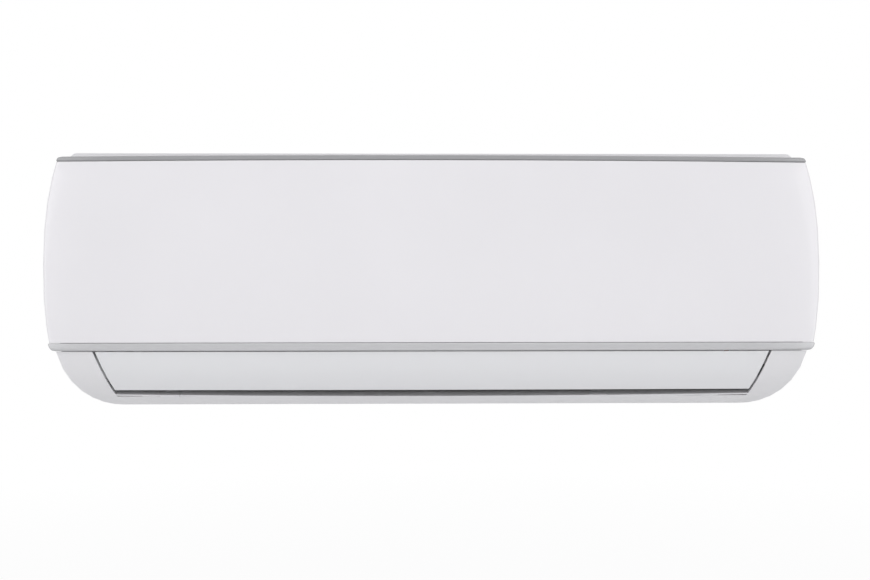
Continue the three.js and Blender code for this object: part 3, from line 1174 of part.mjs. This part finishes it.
function pipeClip() {
  const outline = [[-47, WALL + GAP], [-9, WALL + GAP], [-9, LOWER_BACK_Z - WALL], [-47,
    LOWER_BACK_Z - WALL]];
  return cut(
    prismX(outline, 300, 309),
    rodX(INSULATION_RADIUS + GAP, 299, 310, PIPE_Y, GAS_PIPE_Z, 12),
    rodX(LIQUID_PIPE_RADIUS + 0.8, 299, 310, PIPE_Y, LIQUID_PIPE_Z, 8),
  );
}

const INSULATION_RADIUS = 12;

piece('gas_pipe', refrigerantPipe(
  GAS_PIPE_RADIUS, tubePlace(SLABS[2], 1, 0), 234, PIPE_X, GAS_PIPE_Z,
), COPPER);
piece('liquid_pipe', refrigerantPipe(
  LIQUID_PIPE_RADIUS, tubePlace(SLABS[2], 0, 0), 280, PIPE_X + 12, LIQUID_PIPE_Z,
), COPPER);
piece('gas_flare_nut', flareNut(GAS_PIPE_RADIUS, GAS_PIPE_Z), BRASS);
piece('liquid_flare_nut', flareNut(LIQUID_PIPE_RADIUS, LIQUID_PIPE_Z), BRASS);
piece('gas_pipe_insulation', cut(
  rodX(INSULATION_RADIUS, 70, 385, PIPE_Y, GAS_PIPE_Z, 12),
  rodX(GAS_PIPE_RADIUS + 0.5, 69, 386, PIPE_Y, GAS_PIPE_Z, 12),
), FOAM);
piece('pipe_clip', pipeClip(), WHITE_PLASTIC);

export default unit;
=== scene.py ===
"""Looks of a wall-hung air conditioner's indoor unit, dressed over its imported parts."""

import json
import math

import bmesh
import bpy
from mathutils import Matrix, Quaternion, Vector


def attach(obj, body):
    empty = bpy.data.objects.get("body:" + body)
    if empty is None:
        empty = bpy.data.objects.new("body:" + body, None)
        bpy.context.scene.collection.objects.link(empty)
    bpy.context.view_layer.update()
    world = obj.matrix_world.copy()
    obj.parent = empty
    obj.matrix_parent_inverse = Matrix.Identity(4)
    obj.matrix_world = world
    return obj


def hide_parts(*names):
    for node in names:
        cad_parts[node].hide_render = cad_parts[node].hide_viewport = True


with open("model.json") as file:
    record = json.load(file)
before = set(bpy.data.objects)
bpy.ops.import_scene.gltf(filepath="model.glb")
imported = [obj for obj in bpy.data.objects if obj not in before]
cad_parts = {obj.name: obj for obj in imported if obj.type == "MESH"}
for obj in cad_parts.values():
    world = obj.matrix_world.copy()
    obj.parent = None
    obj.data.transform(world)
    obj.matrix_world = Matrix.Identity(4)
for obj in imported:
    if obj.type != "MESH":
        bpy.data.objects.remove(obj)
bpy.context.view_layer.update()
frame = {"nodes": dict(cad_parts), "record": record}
NODES = frame["nodes"]
BODY_OF = {
    node: body
    for body, nodes in frame["record"]["behaviour"]["bodies"].items()
    for node in nodes
}

MM = 0.001
ORIGIN_HEIGHT = 175  # mm from the unit's lowest edge up to the middle of the wall plate

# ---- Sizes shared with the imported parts, in mm; heights are from the unit's lowest edge ----
FAN_CENTRE = (-98, 128)  # depth and height
FAN_SPAN = (-391, 383)
FAN_BLADE_PITCH = 30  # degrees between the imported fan's blades
COIL_SPAN = (-384, 372)
COIL_THICKNESS = 22
COIL_SLABS = {  # where each slab's outer face starts and ends, as depth and height
    "evaporator_lower": ((-179.4, 111), (-170, 198)),
    "evaporator_upper": ((-164.4, 210.8), (-109.8, 276.2)),
    "evaporator_rear": ((-73.1, 274.1), (-29, 207)),
}

# ---- Sizes of what is added here, in mm ----
FIN_PITCH = 1.8
FIN_THICKNESS = 0.25
FIN_STANDS_PROUD = 0.22
FIRST_FIN = 0.6  # from the coil's end to its first fin
BEND_START = 0.2  # from the coil's end to where its metal turns to copper
THIN_BLADE_OFFSETS = (10, 20)  # degrees from a packed blade to the thin ones after it
THIN_BLADE_FACES = (  # radius and lean in degrees, out along one face and back along the other
    (37.5, 7.6), (40.5, 3.2), (43.5, -0.6), (46.5, -4.4),
    (46.5, -5.8), (43.5, -2.2), (40.5, 1.4), (37.5, 5.6),
)
# How far a strip's ends draw in, the height where they keep their length, and the height of the tip
TOP_STRIP_ENDS = (6, 305.4, 311.1)
BOTTOM_STRIP_ENDS = (9, 79.8, 70)
STRIP_END_CUTS = (0.2, 0.4, 0.6, 0.78, 0.92)  # shares of the way to the tip
MERGE_DISTANCE = 0.005
FLAT_ANGLE = 0.4  # degrees under which two faces count as one
EASED_ANGLE = 50  # degrees over which an edge is eased


def linear(red, green, blue):
    """A colour of 0 to 255 as the shader wants it."""
    levels = [value / 255 for value in (red, green, blue)]
    return tuple(v / 12.92 if v <= 0.04045 else ((v + 0.055) / 1.055) ** 2.4 for v in levels) + (1.0,)


def toned(colour, factor):
    """The same colour, lighter or darker by a factor."""
    return tuple(channel * factor for channel in colour[:3]) + (1.0,)


# ---- Finishes ----

COAT_ROUGHNESS = 0.06
FIN_RIPPLE = 2400  # waves, in radians per metre
NET_THREADS = 4200
BOARD_LINES = 1300


class Reading:
    """A number that varies over a surface, so that a finish is written as plain sums."""

    def __init__(self, finish, socket):
        self.finish = finish
        self.socket = socket

    def __add__(self, other):
        return self.finish.math("ADD", self, other)

    def __sub__(self, other):
        return self.finish.math("SUBTRACT", self, other)

    def __rsub__(self, other):
        return self.finish.math("SUBTRACT", other, self)

    def __mul__(self, other):
        return self.finish.math("MULTIPLY", self, other)

    def __gt__(self, other):
        return self.finish.math("GREATER_THAN", self, other)

    def __lt__(self, other):
        return self.finish.math("LESS_THAN", self, other)

    def __pow__(self, other):
        return self.finish.math("POWER", self, other)

    __radd__ = __add__
    __rmul__ = __mul__

    def sine(self):
        return self.finish.math("SINE", self)

    def within(self, low, high):
        """Stretches low to high over 0 to 1 and stops there."""
        spread = self.finish.node(
            "ShaderNodeMapRange", {"clamp": True}, {"Value": self, "From Min": low, "From Max": high}
        )
        return Reading(self.finish, spread.outputs["Result"])


class Finish:
    """One procedural material, built on the piece's own coordinates."""

    def __init__(self, name):
        self.material = bpy.data.materials.new(name)
        self.material.use_nodes = True
        self.nodes = self.material.node_tree.nodes
        self.links = self.material.node_tree.links
        self.nodes.clear()
        self.place = self.node("ShaderNodeTexCoord").outputs["Object"]

    def node(self, kind, settings=None, inputs=None):
        made = self.nodes.new(kind)
        for name, value in (settings or {}).items():
            setattr(made, name, value)
        for name, value in (inputs or {}).items():
            if isinstance(value, Reading):
                value = value.socket
            if isinstance(value, bpy.types.NodeSocket):
                self.links.new(value, made.inputs[name])
            else:
                made.inputs[name].default_value = value
        return made

    def math(self, operation, *values):
        made = self.node("ShaderNodeMath", {"operation": operation}, dict(enumerate(values)))
        return Reading(self, made.outputs[0])

    def axes(self):
        split = self.node("ShaderNodeSeparateXYZ", inputs={"Vector": self.place})
        return [Reading(self, split.outputs[axis]) for axis in "XYZ"]

    def stretched(self, scale):
        mapping = self.node("ShaderNodeMapping", inputs={"Vector": self.place, "Scale": scale})
        return mapping.outputs["Vector"]

    def noise(self, scale, detail=3.0, stretch=(1, 1, 1)):
        inputs = {"Vector": self.stretched(stretch), "Scale": scale, "Detail": detail}
        return Reading(self, self.node("ShaderNodeTexNoise", inputs=inputs).outputs[0])

    def cells(self, scale, stretch=(1, 1, 1)):
        inputs = {"Vector": self.stretched(stretch), "Scale": scale}
        return Reading(self, self.node("ShaderNodeTexVoronoi", inputs=inputs).outputs["Distance"])

    def mix(self, first, second, share):
        made = self.node("ShaderNodeMix", {"data_type": "RGBA"}, {0: share, 6: first, 7: second})
        return made.outputs[2]

    def surface(self, colour, roughness, metallic=0.0, coat=0.0, height=None, depth=0.0):
        inputs = {"Base Color": colour, "Roughness": roughness, "Metallic": metallic, "Coat Weight": coat}
        if coat:
            inputs["Coat Roughness"] = COAT_ROUGHNESS
        if height is not None:
            relief = {"Height": height, "Distance": depth, "Strength": 1.0}
            inputs["Normal"] = self.node("ShaderNodeBump", inputs=relief).outputs["Normal"]
        shader = self.node("ShaderNodeBsdfPrincipled", inputs=inputs)
        self.node("ShaderNodeOutputMaterial", inputs={"Surface": shader.outputs["BSDF"]})
        return self.material


def moulded(name, colour, roughness, coat=0.0, grain=0.03, dust=0.02):
    """Injection-moulded plastic: fine mould grain, slow sink waves, slight fading, a little dust and painted
    shade that darkens it towards the bottom.
    """
    finish = Finish(name)
    _, _, height = finish.axes()
    fading = finish.noise(5, 2)
    waves = finish.noise(24, 2)
    mould_grain = finish.noise(1500, 2)
    specks = finish.noise(420, 1).within(0.68, 0.78)
    faded = finish.mix(colour, toned(colour, 0.965), fading.within(0.3, 0.7))
    # painted shade: the colour darkens towards the unit's bottom
    lower = finish.mix(faded, toned(colour, 0.975), (height * -2.0).within(-0.3, 0.36))
    dusty = finish.mix(lower, linear(196, 190, 180), specks * dust)
    sheen = roughness + 0.07 * (waves - 0.5) + 0.05 * specks
    relief = mould_grain * grain + waves * 0.35
    return finish.surface(dusty, sheen, coat=coat, height=relief, depth=0.0004)


def metallic_strip(name, colour, roughness, metallic):
    """Foil-faced trim: hair lines along its length and tiny bright flakes."""
    finish = Finish(name)
    hair = finish.noise(60, 4, (1, 40, 60))
    flakes = finish.noise(2200, 1).within(0.55, 0.8)
    slow = finish.noise(9, 2)
    lined = finish.mix(colour, toned(colour, 0.88), hair.within(0.35, 0.7))
    bright = finish.mix(lined, toned(colour, 1.12), flakes * 0.3)
    sheen = roughness + 0.08 * (hair - 0.5) + 0.04 * slow
    return finish.surface(bright, sheen, metallic, coat=0.3, height=hair, depth=0.00003)


def sheet_metal(name, colour, roughness, spangle=0.5):
    """Zinc-coated steel with its spangle, rolling lines and a little tarnish."""
    finish = Finish(name)
    crystal = finish.cells(55)
    rolling = finish.noise(40, 3, (1, 25, 25))
    tarnish = finish.noise(12, 4).within(0.5, 0.75)
    shade = finish.mix(colour, toned(colour, 0.8), crystal * spangle)
    dulled = finish.mix(shade, toned(colour, 0.6), tarnish * 0.35)
    sheen = roughness + 0.15 * (crystal - 0.4) + 0.1 * tarnish
    relief = rolling + crystal * 0.3
    return finish.surface(dulled, sheen, 0.9, height=relief, depth=0.00005)


def drawn_metal(name, colour, tarnished, roughness):
    """Drawn or turned metal: lines round it, finger marks and tarnish in patches."""
    finish = Finish(name)
    lines = finish.noise(90, 3, (12, 1, 1))
    patches = finish.noise(28, 5).within(0.45, 0.7)
    shade = finish.mix(colour, tarnished, patches)
    sheen = roughness + 0.25 * patches + 0.08 * (lines - 0.5)
    return finish.surface(shade, sheen, 0.95, height=lines, depth=0.00004)


def coil_metal(name):
    """Dull aluminium painted dark grey as the shade in the slots between the fins, and copper where the tubes'
    bends stand out at both ends.
    """
    finish = Finish(name)
    along, _, _ = finish.axes()
    low, high = COIL_SPAN
    outside = (along < (low - BEND_START) * MM) + (along > (high + BEND_START) * MM)
    patches = finish.noise(30, 4).within(0.4, 0.7)
    # painted shade: the dark grey stands for the shade in the slots between the fins
    fin_gap_painted_shade = finish.mix(linear(96, 100, 104), linear(70, 73, 76), patches)
    copper = finish.mix(linear(196, 120, 84), linear(120, 66, 44), patches)
    shade = finish.mix(fin_gap_painted_shade, copper, outside)
    return finish.surface(shade, 0.35 + 0.2 * patches, 0.9, height=patches, depth=0.00005)


def fin_foil(name):
    """Thin pressed foil with the ripple across it and its pale blue coating."""
    finish = Finish(name)
    _, _, height = finish.axes()
    ripple = (height * FIN_RIPPLE).sine()
    patches = finish.noise(22, 4)
    shade = finish.mix(linear(214, 219, 222), linear(184, 192, 198), patches.within(0.35, 0.7))
    return finish.surface(shade, 0.34 + 0.15 * (patches - 0.5), 0.85, height=ripple, depth=0.00008)


def filter_net(name, colour):
    """Woven net between moulded ribs: fine crossed threads with painted shade in the gaps between them, and
    lint caught in places.
    """
    finish = Finish(name)
    along, _, height = finish.axes()
    across = (along * NET_THREADS).sine() ** 2
    upright = (height * NET_THREADS).sine() ** 2
    threads = finish.math("MAXIMUM", across, upright).within(0.55, 0.95)
    lint = finish.noise(38, 5).within(0.55, 0.8)
    # painted shade: the gaps between the threads are darkened
    shaded_weave = finish.mix(toned(colour, 0.45), colour, threads)
    linted = finish.mix(shaded_weave, linear(150, 148, 142), lint * 0.35)
    return finish.surface(linted, 0.55 + 0.2 * lint, height=threads, depth=0.0002)


def foam_sleeve(name):
    """Closed-cell foam: small pores and slow dents."""
    finish = Finish(name)
    pores = finish.cells(650)
    dents = finish.noise(30, 3)
    shade = finish.mix(linear(58, 59, 62), linear(36, 37, 40), pores.within(0.1, 0.6))
    return finish.surface(shade, 0.92 + 0.05 * (dents - 0.5), height=pores + dents * 2, depth=0.0004)


def rubber(name, colour):
    """Black rubber with a pale bloom in patches."""
    finish = Finish(name)
    bloom = finish.noise(45, 4).within(0.5, 0.75)
    fine = finish.noise(900, 2)
    shade = finish.mix(colour, linear(92, 92, 94), bloom * 0.25)
    return finish.surface(shade, 0.7 + 0.15 * bloom, height=fine, depth=0.0001)


def circuit_board(name):
    """Green board with tracks and the pale rings of its solder joints."""
    finish = Finish(name)
    _, _, height = finish.axes()
    tracks = (finish.noise(90, 1, (1, 1, 6)) > 0.56) * 1.0
    joints = (finish.cells(190) < 0.16) * 1.0
    print_lines = ((height * BOARD_LINES).sine() > 0.93) * 1.0
    green = linear(38, 92, 58)
    base = finish.mix(green, linear(58, 122, 78), tracks)
    ringed = finish.mix(base, linear(200, 204, 206), joints)
    edged = finish.mix(ringed, toned(green, 0.7), print_lines * 0.4)
    relief = joints + tracks * 0.3
    return finish.surface(edged, 0.42 - 0.15 * joints, joints * 0.8, height=relief, depth=0.0003)


PANEL_WHITE = linear(231, 229, 232)
CASE_WHITE = linear(228, 227, 229)
LOUVER_WHITE = linear(229, 229, 231)

panel_gloss = moulded("panel_gloss", PANEL_WHITE, 0.3, coat=0.55, grain=0.004, dust=0.01)
case_satin = moulded("case_satin", CASE_WHITE, 0.44, grain=0.05)
louver_satin = moulded("louver_satin", LOUVER_WHITE, 0.38, coat=0.15, grain=0.02)
duct_grey = moulded("duct_grey", linear(196, 197, 199), 0.5, grain=0.06, dust=0.2)
dark_moulding = moulded("dark_moulding", linear(44, 46, 50), 0.45, grain=0.06, dust=0.15)
lens_smoke = moulded("lens_smoke", linear(24, 22, 26), 0.12, coat=0.8, grain=0.0, dust=0.02)
# one silver trim in two copies: painted shade darkens the top strip's grey and painted light brightens the
# bottom strip's
shaded_top_strip = metallic_strip("shaded_top_strip", linear(154, 154, 156), 0.34, 0.25)
lit_bottom_strip = metallic_strip("lit_bottom_strip", linear(192, 192, 194), 0.3, 0.25)
net_blue = filter_net("net_blue", linear(122, 142, 160))
zinc_sheet = sheet_metal("zinc_sheet", linear(186, 189, 192), 0.38)
motor_steel = sheet_metal("motor_steel", linear(150, 152, 156), 0.32, spangle=0.15)
copper_tube = drawn_metal("copper_tube", linear(203, 126, 88), linear(126, 70, 46), 0.25)
turned_brass = drawn_metal("turned_brass", linear(206, 172, 96), linear(150, 116, 60), 0.22)
screw_steel = drawn_metal("screw_steel", linear(176, 178, 182), linear(120, 120, 122), 0.3)
coil_body = coil_metal("coil_body")
foil = fin_foil("foil")
sleeve = foam_sleeve("sleeve")
black_rubber = rubber("black_rubber", linear(30, 30, 32))
board_green = circuit_board("board_green")

VANES = [f"vane_{side}_{number}" for side in ("left", "right") for number in range(1, 7)]
FINISH_OF = {
    panel_gloss: ["front_panel"],
    case_satin: [
        "front_frame", "rear_chassis", "control_box", "control_box_cover", "motor_clamp", "receiver_housing",
        "test_button", "screw_cap_left", "screw_cap_right", "pipe_clip",
    ],
    shaded_top_strip: ["panel_top_trim"],
    lit_bottom_strip: ["panel_bottom_trim"],
    louver_satin: ["louver", "vane_link_left", "vane_link_right", *VANES],
    duct_grey: ["drain_pan", "cross_flow_fan"],
    dark_moulding: ["drain_spout", "terminal_block", "cable_clamp", "louver_bearing"],
    lens_smoke: ["receiver_lens"],
    net_blue: ["filter_left", "filter_right"],
    zinc_sheet: ["wall_plate", "coil_end_plate_left", "coil_end_plate_right"],
    motor_steel: ["fan_motor", "louver_motor"],
    screw_steel: ["motor_shaft", "frame_screw_left", "frame_screw_right"],
    copper_tube: ["gas_pipe", "liquid_pipe", "room_sensor"],
    turned_brass: ["gas_flare_nut", "liquid_flare_nut"],
    black_rubber: ["drain_plug", "fan_bearing"],
    sleeve: ["gas_pipe_insulation"],
    board_green: ["control_board"],
    coil_body: list(COIL_SLABS),
}

# Finish, degrees up to which a bend is shaded smooth, width of the eased edges in mm,
# and how the ends draw in
SOFTENED = {
    "front_panel": (panel_gloss, 50, 0.7, None),
    "panel_top_trim": (shaded_top_strip, 50, 0, TOP_STRIP_ENDS),
    "panel_bottom_trim": (lit_bottom_strip, 50, 0, BOTTOM_STRIP_ENDS),
    "louver": (louver_satin, 35, 0.5, None),
    "front_frame": (case_satin, 35, 0, None),
    "screw_cap_left": (case_satin, 35, 0.4, None),
    "screw_cap_right": (case_satin, 35, 0.4, None),
}


# ---- Pieces ----


def made_object(name, mesh, material, body):
    """A piece in one finish that rides on a body."""
    piece = bpy.data.objects.new(name, mesh)
    bpy.context.scene.collection.objects.link(piece)
    mesh.materials.clear()
    mesh.materials.append(material)
    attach(piece, body)
    return piece


def drawn_in_ends(form, reach, level, tip):
    """Rounds a strip's ends: they keep their length at one height and are drawn in at the tip's height."""
    for share in STRIP_END_CUTS:
        height = (level + (tip - level) * share - ORIGIN_HEIGHT) * MM
        everything = [*form.verts, *form.edges, *form.faces]
        bmesh.ops.bisect_plane(form, geom=everything, plane_co=(0, 0, height), plane_no=(0, 0, 1))
    half = max(vertex.co.x for vertex in form.verts)
    zone = 2 * reach * MM
    for vertex in form.verts:
        beyond = abs(vertex.co.x) - (half - zone)
        if beyond > 0:
            height = vertex.co.z / MM + ORIGIN_HEIGHT
            share = min(max((height - level) / (tip - level), 0), 1)
            drawn = 0.5 * (1 - math.sqrt(1 - share * share))
            vertex.co.x = math.copysign(half - zone + beyond * (1 - drawn), vertex.co.x)


def softened(node, material, angle, edge, ends):
    """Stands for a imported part: the same form with merged corners, smooth where it curves and eased edges."""
    form = bmesh.new()
    form.from_mesh(NODES[node].data)
    bmesh.ops.remove_doubles(form, verts=form.verts, dist=MERGE_DISTANCE * MM)
    bmesh.ops.dissolve_limit(form, angle_limit=math.radians(FLAT_ANGLE), verts=form.verts, edges=form.edges)
    if ends:
        drawn_in_ends(form, *ends)
    places = [vertex.co.copy() for vertex in form.verts]
    form.verts.index_update()
    faces = [[vertex.index for vertex in face.verts] for face in form.faces]
    form.free()
    mesh = bpy.data.meshes.new(f"{node}_skin")
    mesh.from_pydata(places, [], faces)
    mesh.shade_smooth()
    mesh.set_sharp_from_angle(angle=math.radians(angle))
    piece = made_object(f"{node}_skin", mesh, material, BODY_OF[node])
    if edge:
        bevel = piece.modifiers.new("eased edges", "BEVEL")
        bevel.width = edge * MM
        bevel.segments = 2
        bevel.limit_method = "ANGLE"
        bevel.angle_limit = math.radians(EASED_ANGLE)
        bevel.harden_normals = True
    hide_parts(node)


class RepeatTree:
    """Copies a shape in a row, each copy turned a little further about the unit's length."""

    SIZES = {
        "Count": "NodeSocketInt",
        "Start": "NodeSocketVector",
        "Step": "NodeSocketVector",
        "Turn": "NodeSocketFloat",
        "Finish": "NodeSocketMaterial",
    }

    def __init__(self):
        self.tree = bpy.data.node_groups.new("repeat along the unit", "GeometryNodeTree")
        face = self.tree.interface
        face.new_socket("Geometry", in_out="INPUT", socket_type="NodeSocketGeometry")
        self.names = {
            name: face.new_socket(name, in_out="INPUT", socket_type=kind).identifier
            for name, kind in self.SIZES.items()
        }
        face.new_socket("Geometry", in_out="OUTPUT", socket_type="NodeSocketGeometry")
        given = self.node("NodeGroupInput").outputs
        start = {"Start Location": given["Start"]}
        line = self.node("GeometryNodeMeshLine", Count=given["Count"], Offset=given["Step"], **start)
        index = self.node("GeometryNodeInputIndex").outputs[0]
        turned = self.node("ShaderNodeMath", **{"0": index, "1": given["Turn"]})
        turned.operation = "MULTIPLY"
        angles = self.node("ShaderNodeCombineXYZ", X=turned.outputs[0]).outputs[0]
        rotation = self.node("FunctionNodeEulerToRotation", Euler=angles).outputs[0]
        copies = self.node(
            "GeometryNodeInstanceOnPoints",
            Points=line.outputs["Mesh"], Instance=given["Geometry"], Rotation=rotation,
        )
        real = self.node("GeometryNodeRealizeInstances", Geometry=copies.outputs["Instances"])
        finished = self.node(
            "GeometryNodeSetMaterial", Geometry=real.outputs["Geometry"], Material=given["Finish"]
        )
        self.node("NodeGroupOutput", Geometry=finished.outputs["Geometry"])

    def node(self, kind, **inputs):
        made = self.tree.nodes.new(kind)
        for name, socket in inputs.items():
            self.tree.links.new(socket, made.inputs[int(name) if name.isdigit() else name])
        return made

    def make(self, name, places, faces, body, **sizes):
        """Repeats one shape, turns the row into a plain mesh and lets it ride on a body."""
        seed = bpy.data.meshes.new(f"{name}_seed")
        seed.from_pydata(places, [], faces)
        piece = bpy.data.objects.new(name, seed)
        bpy.context.scene.collection.objects.link(piece)
        modifier = piece.modifiers.new("repeat", "NODES")
        modifier.node_group = self.tree
        for size, value in sizes.items():
            modifier[self.names[size]] = value
        evaluated = piece.evaluated_get(bpy.context.evaluated_depsgraph_get())
        mesh = bpy.data.meshes.new_from_object(evaluated)
        piece.modifiers.remove(modifier)
        piece.data = mesh
        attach(piece, body)


def prism_along(outline, low, high):
    """Corners and faces of an outline in (y, z) metres drawn out from x = low to x = high."""
    count = len(outline)
    places = [(x, y, z) for x in (low, high) for y, z in outline]
    sides = [(i, (i + 1) % count, count + (i + 1) % count, count + i) for i in range(count)]
    return places, [tuple(reversed(range(count))), tuple(range(count, 2 * count)), *sides]


def outward(places, faces):
    """Turns the faces of a closed convex shape outwards."""
    centre = sum((Vector(place) for place in places), Vector()) / len(places)
    turned = []
    for face in faces:
        corners = [Vector(places[index]) for index in face]
        normal = (corners[1] - corners[0]).cross(corners[2] - corners[1])
        middle = sum(corners, Vector()) / len(corners)
        turned.append(face if normal.dot(middle - centre) > 0 else tuple(reversed(face)))
    return places, turned


repeat = RepeatTree()


def coil_fins():
    """The coil's separate fins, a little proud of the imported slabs."""
    count = int((COIL_SPAN[1] - COIL_SPAN[0]) / FIN_PITCH)
    for node, (start, end) in COIL_SLABS.items():
        along = Vector((end[0] - start[0], end[1] - start[1])).normalized()
        inward = Vector((along.y, -along.x))
        outer = -inward * FIN_STANDS_PROUD
        inner = inward * (COIL_THICKNESS + FIN_STANDS_PROUD)
        corners = [Vector(start) + outer, Vector(end) + outer, Vector(end) + inner, Vector(start) + inner]
        outline = [(corner.x * MM, (corner.y - ORIGIN_HEIGHT) * MM) for corner in corners]
        shape = outward(*prism_along(outline, 0, FIN_THICKNESS * MM))
        repeat.make(
            node.replace("evaporator", "fins"), *shape, BODY_OF[node],
            Count=count, Start=((COIL_SPAN[0] + FIRST_FIN) * MM, 0, 0),
            Step=(FIN_PITCH * MM, 0, 0), Finish=foil,
        )


def fan_blades():
    """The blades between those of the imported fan, curved and thin."""
    def rim(radius, degrees):
        angle = math.radians(degrees)
        return (radius * math.sin(angle) * MM, radius * math.cos(angle) * MM)

    for number, offset in enumerate(THIN_BLADE_OFFSETS, start=1):
        outline = [rim(radius, offset + lean) for radius, lean in THIN_BLADE_FACES]
        shape = outward(*prism_along(outline, FAN_SPAN[0] * MM, FAN_SPAN[1] * MM))
        centre = (0, FAN_CENTRE[0] * MM, (FAN_CENTRE[1] - ORIGIN_HEIGHT) * MM)
        repeat.make(
            f"fan_blades_{number}", *shape, "fan",
            Count=360 // FAN_BLADE_PITCH, Start=centre, Turn=math.radians(FAN_BLADE_PITCH), Finish=duct_grey,
        )


def dress():
    """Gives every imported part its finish, eases those in plain view and adds the fins and thin blades."""
    for material, nodes in FINISH_OF.items():
        for node in nodes:
            for slot in NODES[node].material_slots:
                slot.material = material
    for node, settings in SOFTENED.items():
        softened(node, *settings)
    coil_fins()
    fan_blades()


# ---- Floor, light and camera, in metres ----

VIEW_TARGET = (0, -0.215, -0.098)  # on the panel's front
VIEW_DISTANCE = 1.15
VIEW_LENS = 38.92  # mm, as is the sensor's width
VIEW_SENSOR = 36
VIEW_TURN = 0.9  # degrees that the camera stands to the left of the unit's middle
VIEW_ROLL = 0.1  # degrees
VIEW_SHIFT = (0.0011, 0.0632)
FLOOR_HEIGHT = -0.75
FLOOR_HALF = 6.0
FLOOR_WHITENESS = 0.93  # under the unit; it rises to 1 over the span below
FLOOR_FADE = (0.8, 3.5)
FILL_COLOUR = (0.93, 0.94, 0.96, 1)
FILL_STRENGTH = 0.565
WHITE = (1, 1, 1, 1)
LAMPS = (  # name, place, aim, size, watts, and whether glossy surfaces mirror it
    ("overhead", (0, -1.3, 1.5), (0, -0.15, 0), (2.4, 1.2), 10.9, True),
    ("left_wall", (-1.9, -0.9, 0.2), (-0.3, -0.2, 0), (0.8, 1.6), 6.4, True),
    ("right_wall", (1.9, -0.9, 0.2), (0.3, -0.2, 0), (0.8, 1.6), 6.4, True),
    ("low_front", (0, -1.5, -0.65), (0, -0.2, -0.12), (2.2, 0.5), 1.5, True),
    ("front", (0, -2.0, 0.12), (0, -0.17, -0.16), (2.4, 0.5), 5.5, False),
)


def pale_floor():
    """A floor that is near white to the camera and in mirrors, and plain matt to all other light."""
    mesh = bpy.data.meshes.new("floor")
    corners = ((-1, -1), (1, -1), (1, 1), (-1, 1))
    places = [(x * FLOOR_HALF, y * FLOOR_HALF, FLOOR_HEIGHT) for x, y in corners]
    mesh.from_pydata(places, [], [(0, 1, 2, 3)])
    floor = bpy.data.objects.new("floor", mesh)
    bpy.context.scene.collection.objects.link(floor)
    finish = Finish("pale_floor")
    rays = finish.node("ShaderNodeLightPath").outputs
    by_camera, by_mirrors = (Reading(finish, rays[name]) for name in ("Is Camera Ray", "Is Glossy Ray"))
    seen = finish.math("MAXIMUM", by_camera, by_mirrors)
    along, forward, _ = finish.axes()
    distance = (along * along + forward * forward) ** 0.5
    whiteness = FLOOR_WHITENESS + (1 - FLOOR_WHITENESS) * distance.within(*FLOOR_FADE)
    matt = finish.node("ShaderNodeBsdfDiffuse", inputs={"Color": linear(236, 236, 236)})
    white = finish.node("ShaderNodeEmission", inputs={"Color": WHITE, "Strength": 1.0})
    shares = {0: seen * whiteness, 1: matt.outputs[0], 2: white.outputs[0]}
    shader = finish.node("ShaderNodeMixShader", inputs=shares)
    finish.node("ShaderNodeOutputMaterial", inputs={"Surface": shader.outputs[0]})
    mesh.materials.append(finish.material)


def studio_world():
    """White to the camera, in mirrors and through clear surfaces, and a soft fill to all other light."""
    world = bpy.data.worlds.new("studio")
    bpy.context.scene.world = world
    world.use_nodes = True
    nodes, links = world.node_tree.nodes, world.node_tree.links
    nodes.clear()
    rays = nodes.new("ShaderNodeLightPath").outputs
    seen = nodes.new("ShaderNodeMath")
    seen.operation = "MAXIMUM"
    through = nodes.new("ShaderNodeMath")
    through.operation = "MAXIMUM"
    links.new(rays["Is Glossy Ray"], through.inputs[0])
    links.new(rays["Is Transmission Ray"], through.inputs[1])
    links.new(rays["Is Camera Ray"], seen.inputs[0])
    links.new(through.outputs[0], seen.inputs[1])
    fill = nodes.new("ShaderNodeBackground")
    fill.inputs["Color"].default_value = FILL_COLOUR
    fill.inputs["Strength"].default_value = FILL_STRENGTH
    white = nodes.new("ShaderNodeBackground")
    white.inputs["Color"].default_value = WHITE
    mixed = nodes.new("ShaderNodeMixShader")
    links.new(seen.outputs[0], mixed.inputs[0])
    links.new(fill.outputs[0], mixed.inputs[1])
    links.new(white.outputs[0], mixed.inputs[2])
    links.new(mixed.outputs[0], nodes.new("ShaderNodeOutputWorld").inputs["Surface"])


def soft_lamp(name, place, aim, size, power, mirrored):
    light = bpy.data.lights.new(name, "AREA")
    light.shape = "RECTANGLE"
    light.size, light.size_y = size
    light.energy = power
    lamp = bpy.data.objects.new(name, light)
    bpy.context.scene.collection.objects.link(lamp)
    lamp.location = place
    lamp.visible_glossy = mirrored
    lamp.rotation_euler = (Vector(aim) - Vector(place)).to_track_quat("-Z", "Y").to_euler()


def photo_camera():
    """The photograph's view: level and nearly straight on, framed by the lens's shift."""
    camera = bpy.data.cameras.new("camera")
    camera.lens = VIEW_LENS
    camera.sensor_width = VIEW_SENSOR
    camera.shift_x, camera.shift_y = VIEW_SHIFT
    seen = bpy.data.objects.new("camera", camera)
    bpy.context.scene.collection.objects.link(seen)
    turn = math.radians(VIEW_TURN)
    target = Vector(VIEW_TARGET)
    seen.location = target + Vector((-math.sin(turn), -math.cos(turn), 0)) * VIEW_DISTANCE
    level = (target - seen.location).to_track_quat("-Z", "Y")
    seen.rotation_euler = (level @ Quaternion((0, 0, 1), -math.radians(VIEW_ROLL))).to_euler()
    bpy.context.scene.camera = seen


dress()
pale_floor()
studio_world()
for lamp in LAMPS:
    soft_lamp(*lamp)
photo_camera()
bpy.context.scene.view_settings.view_transform = "Standard"
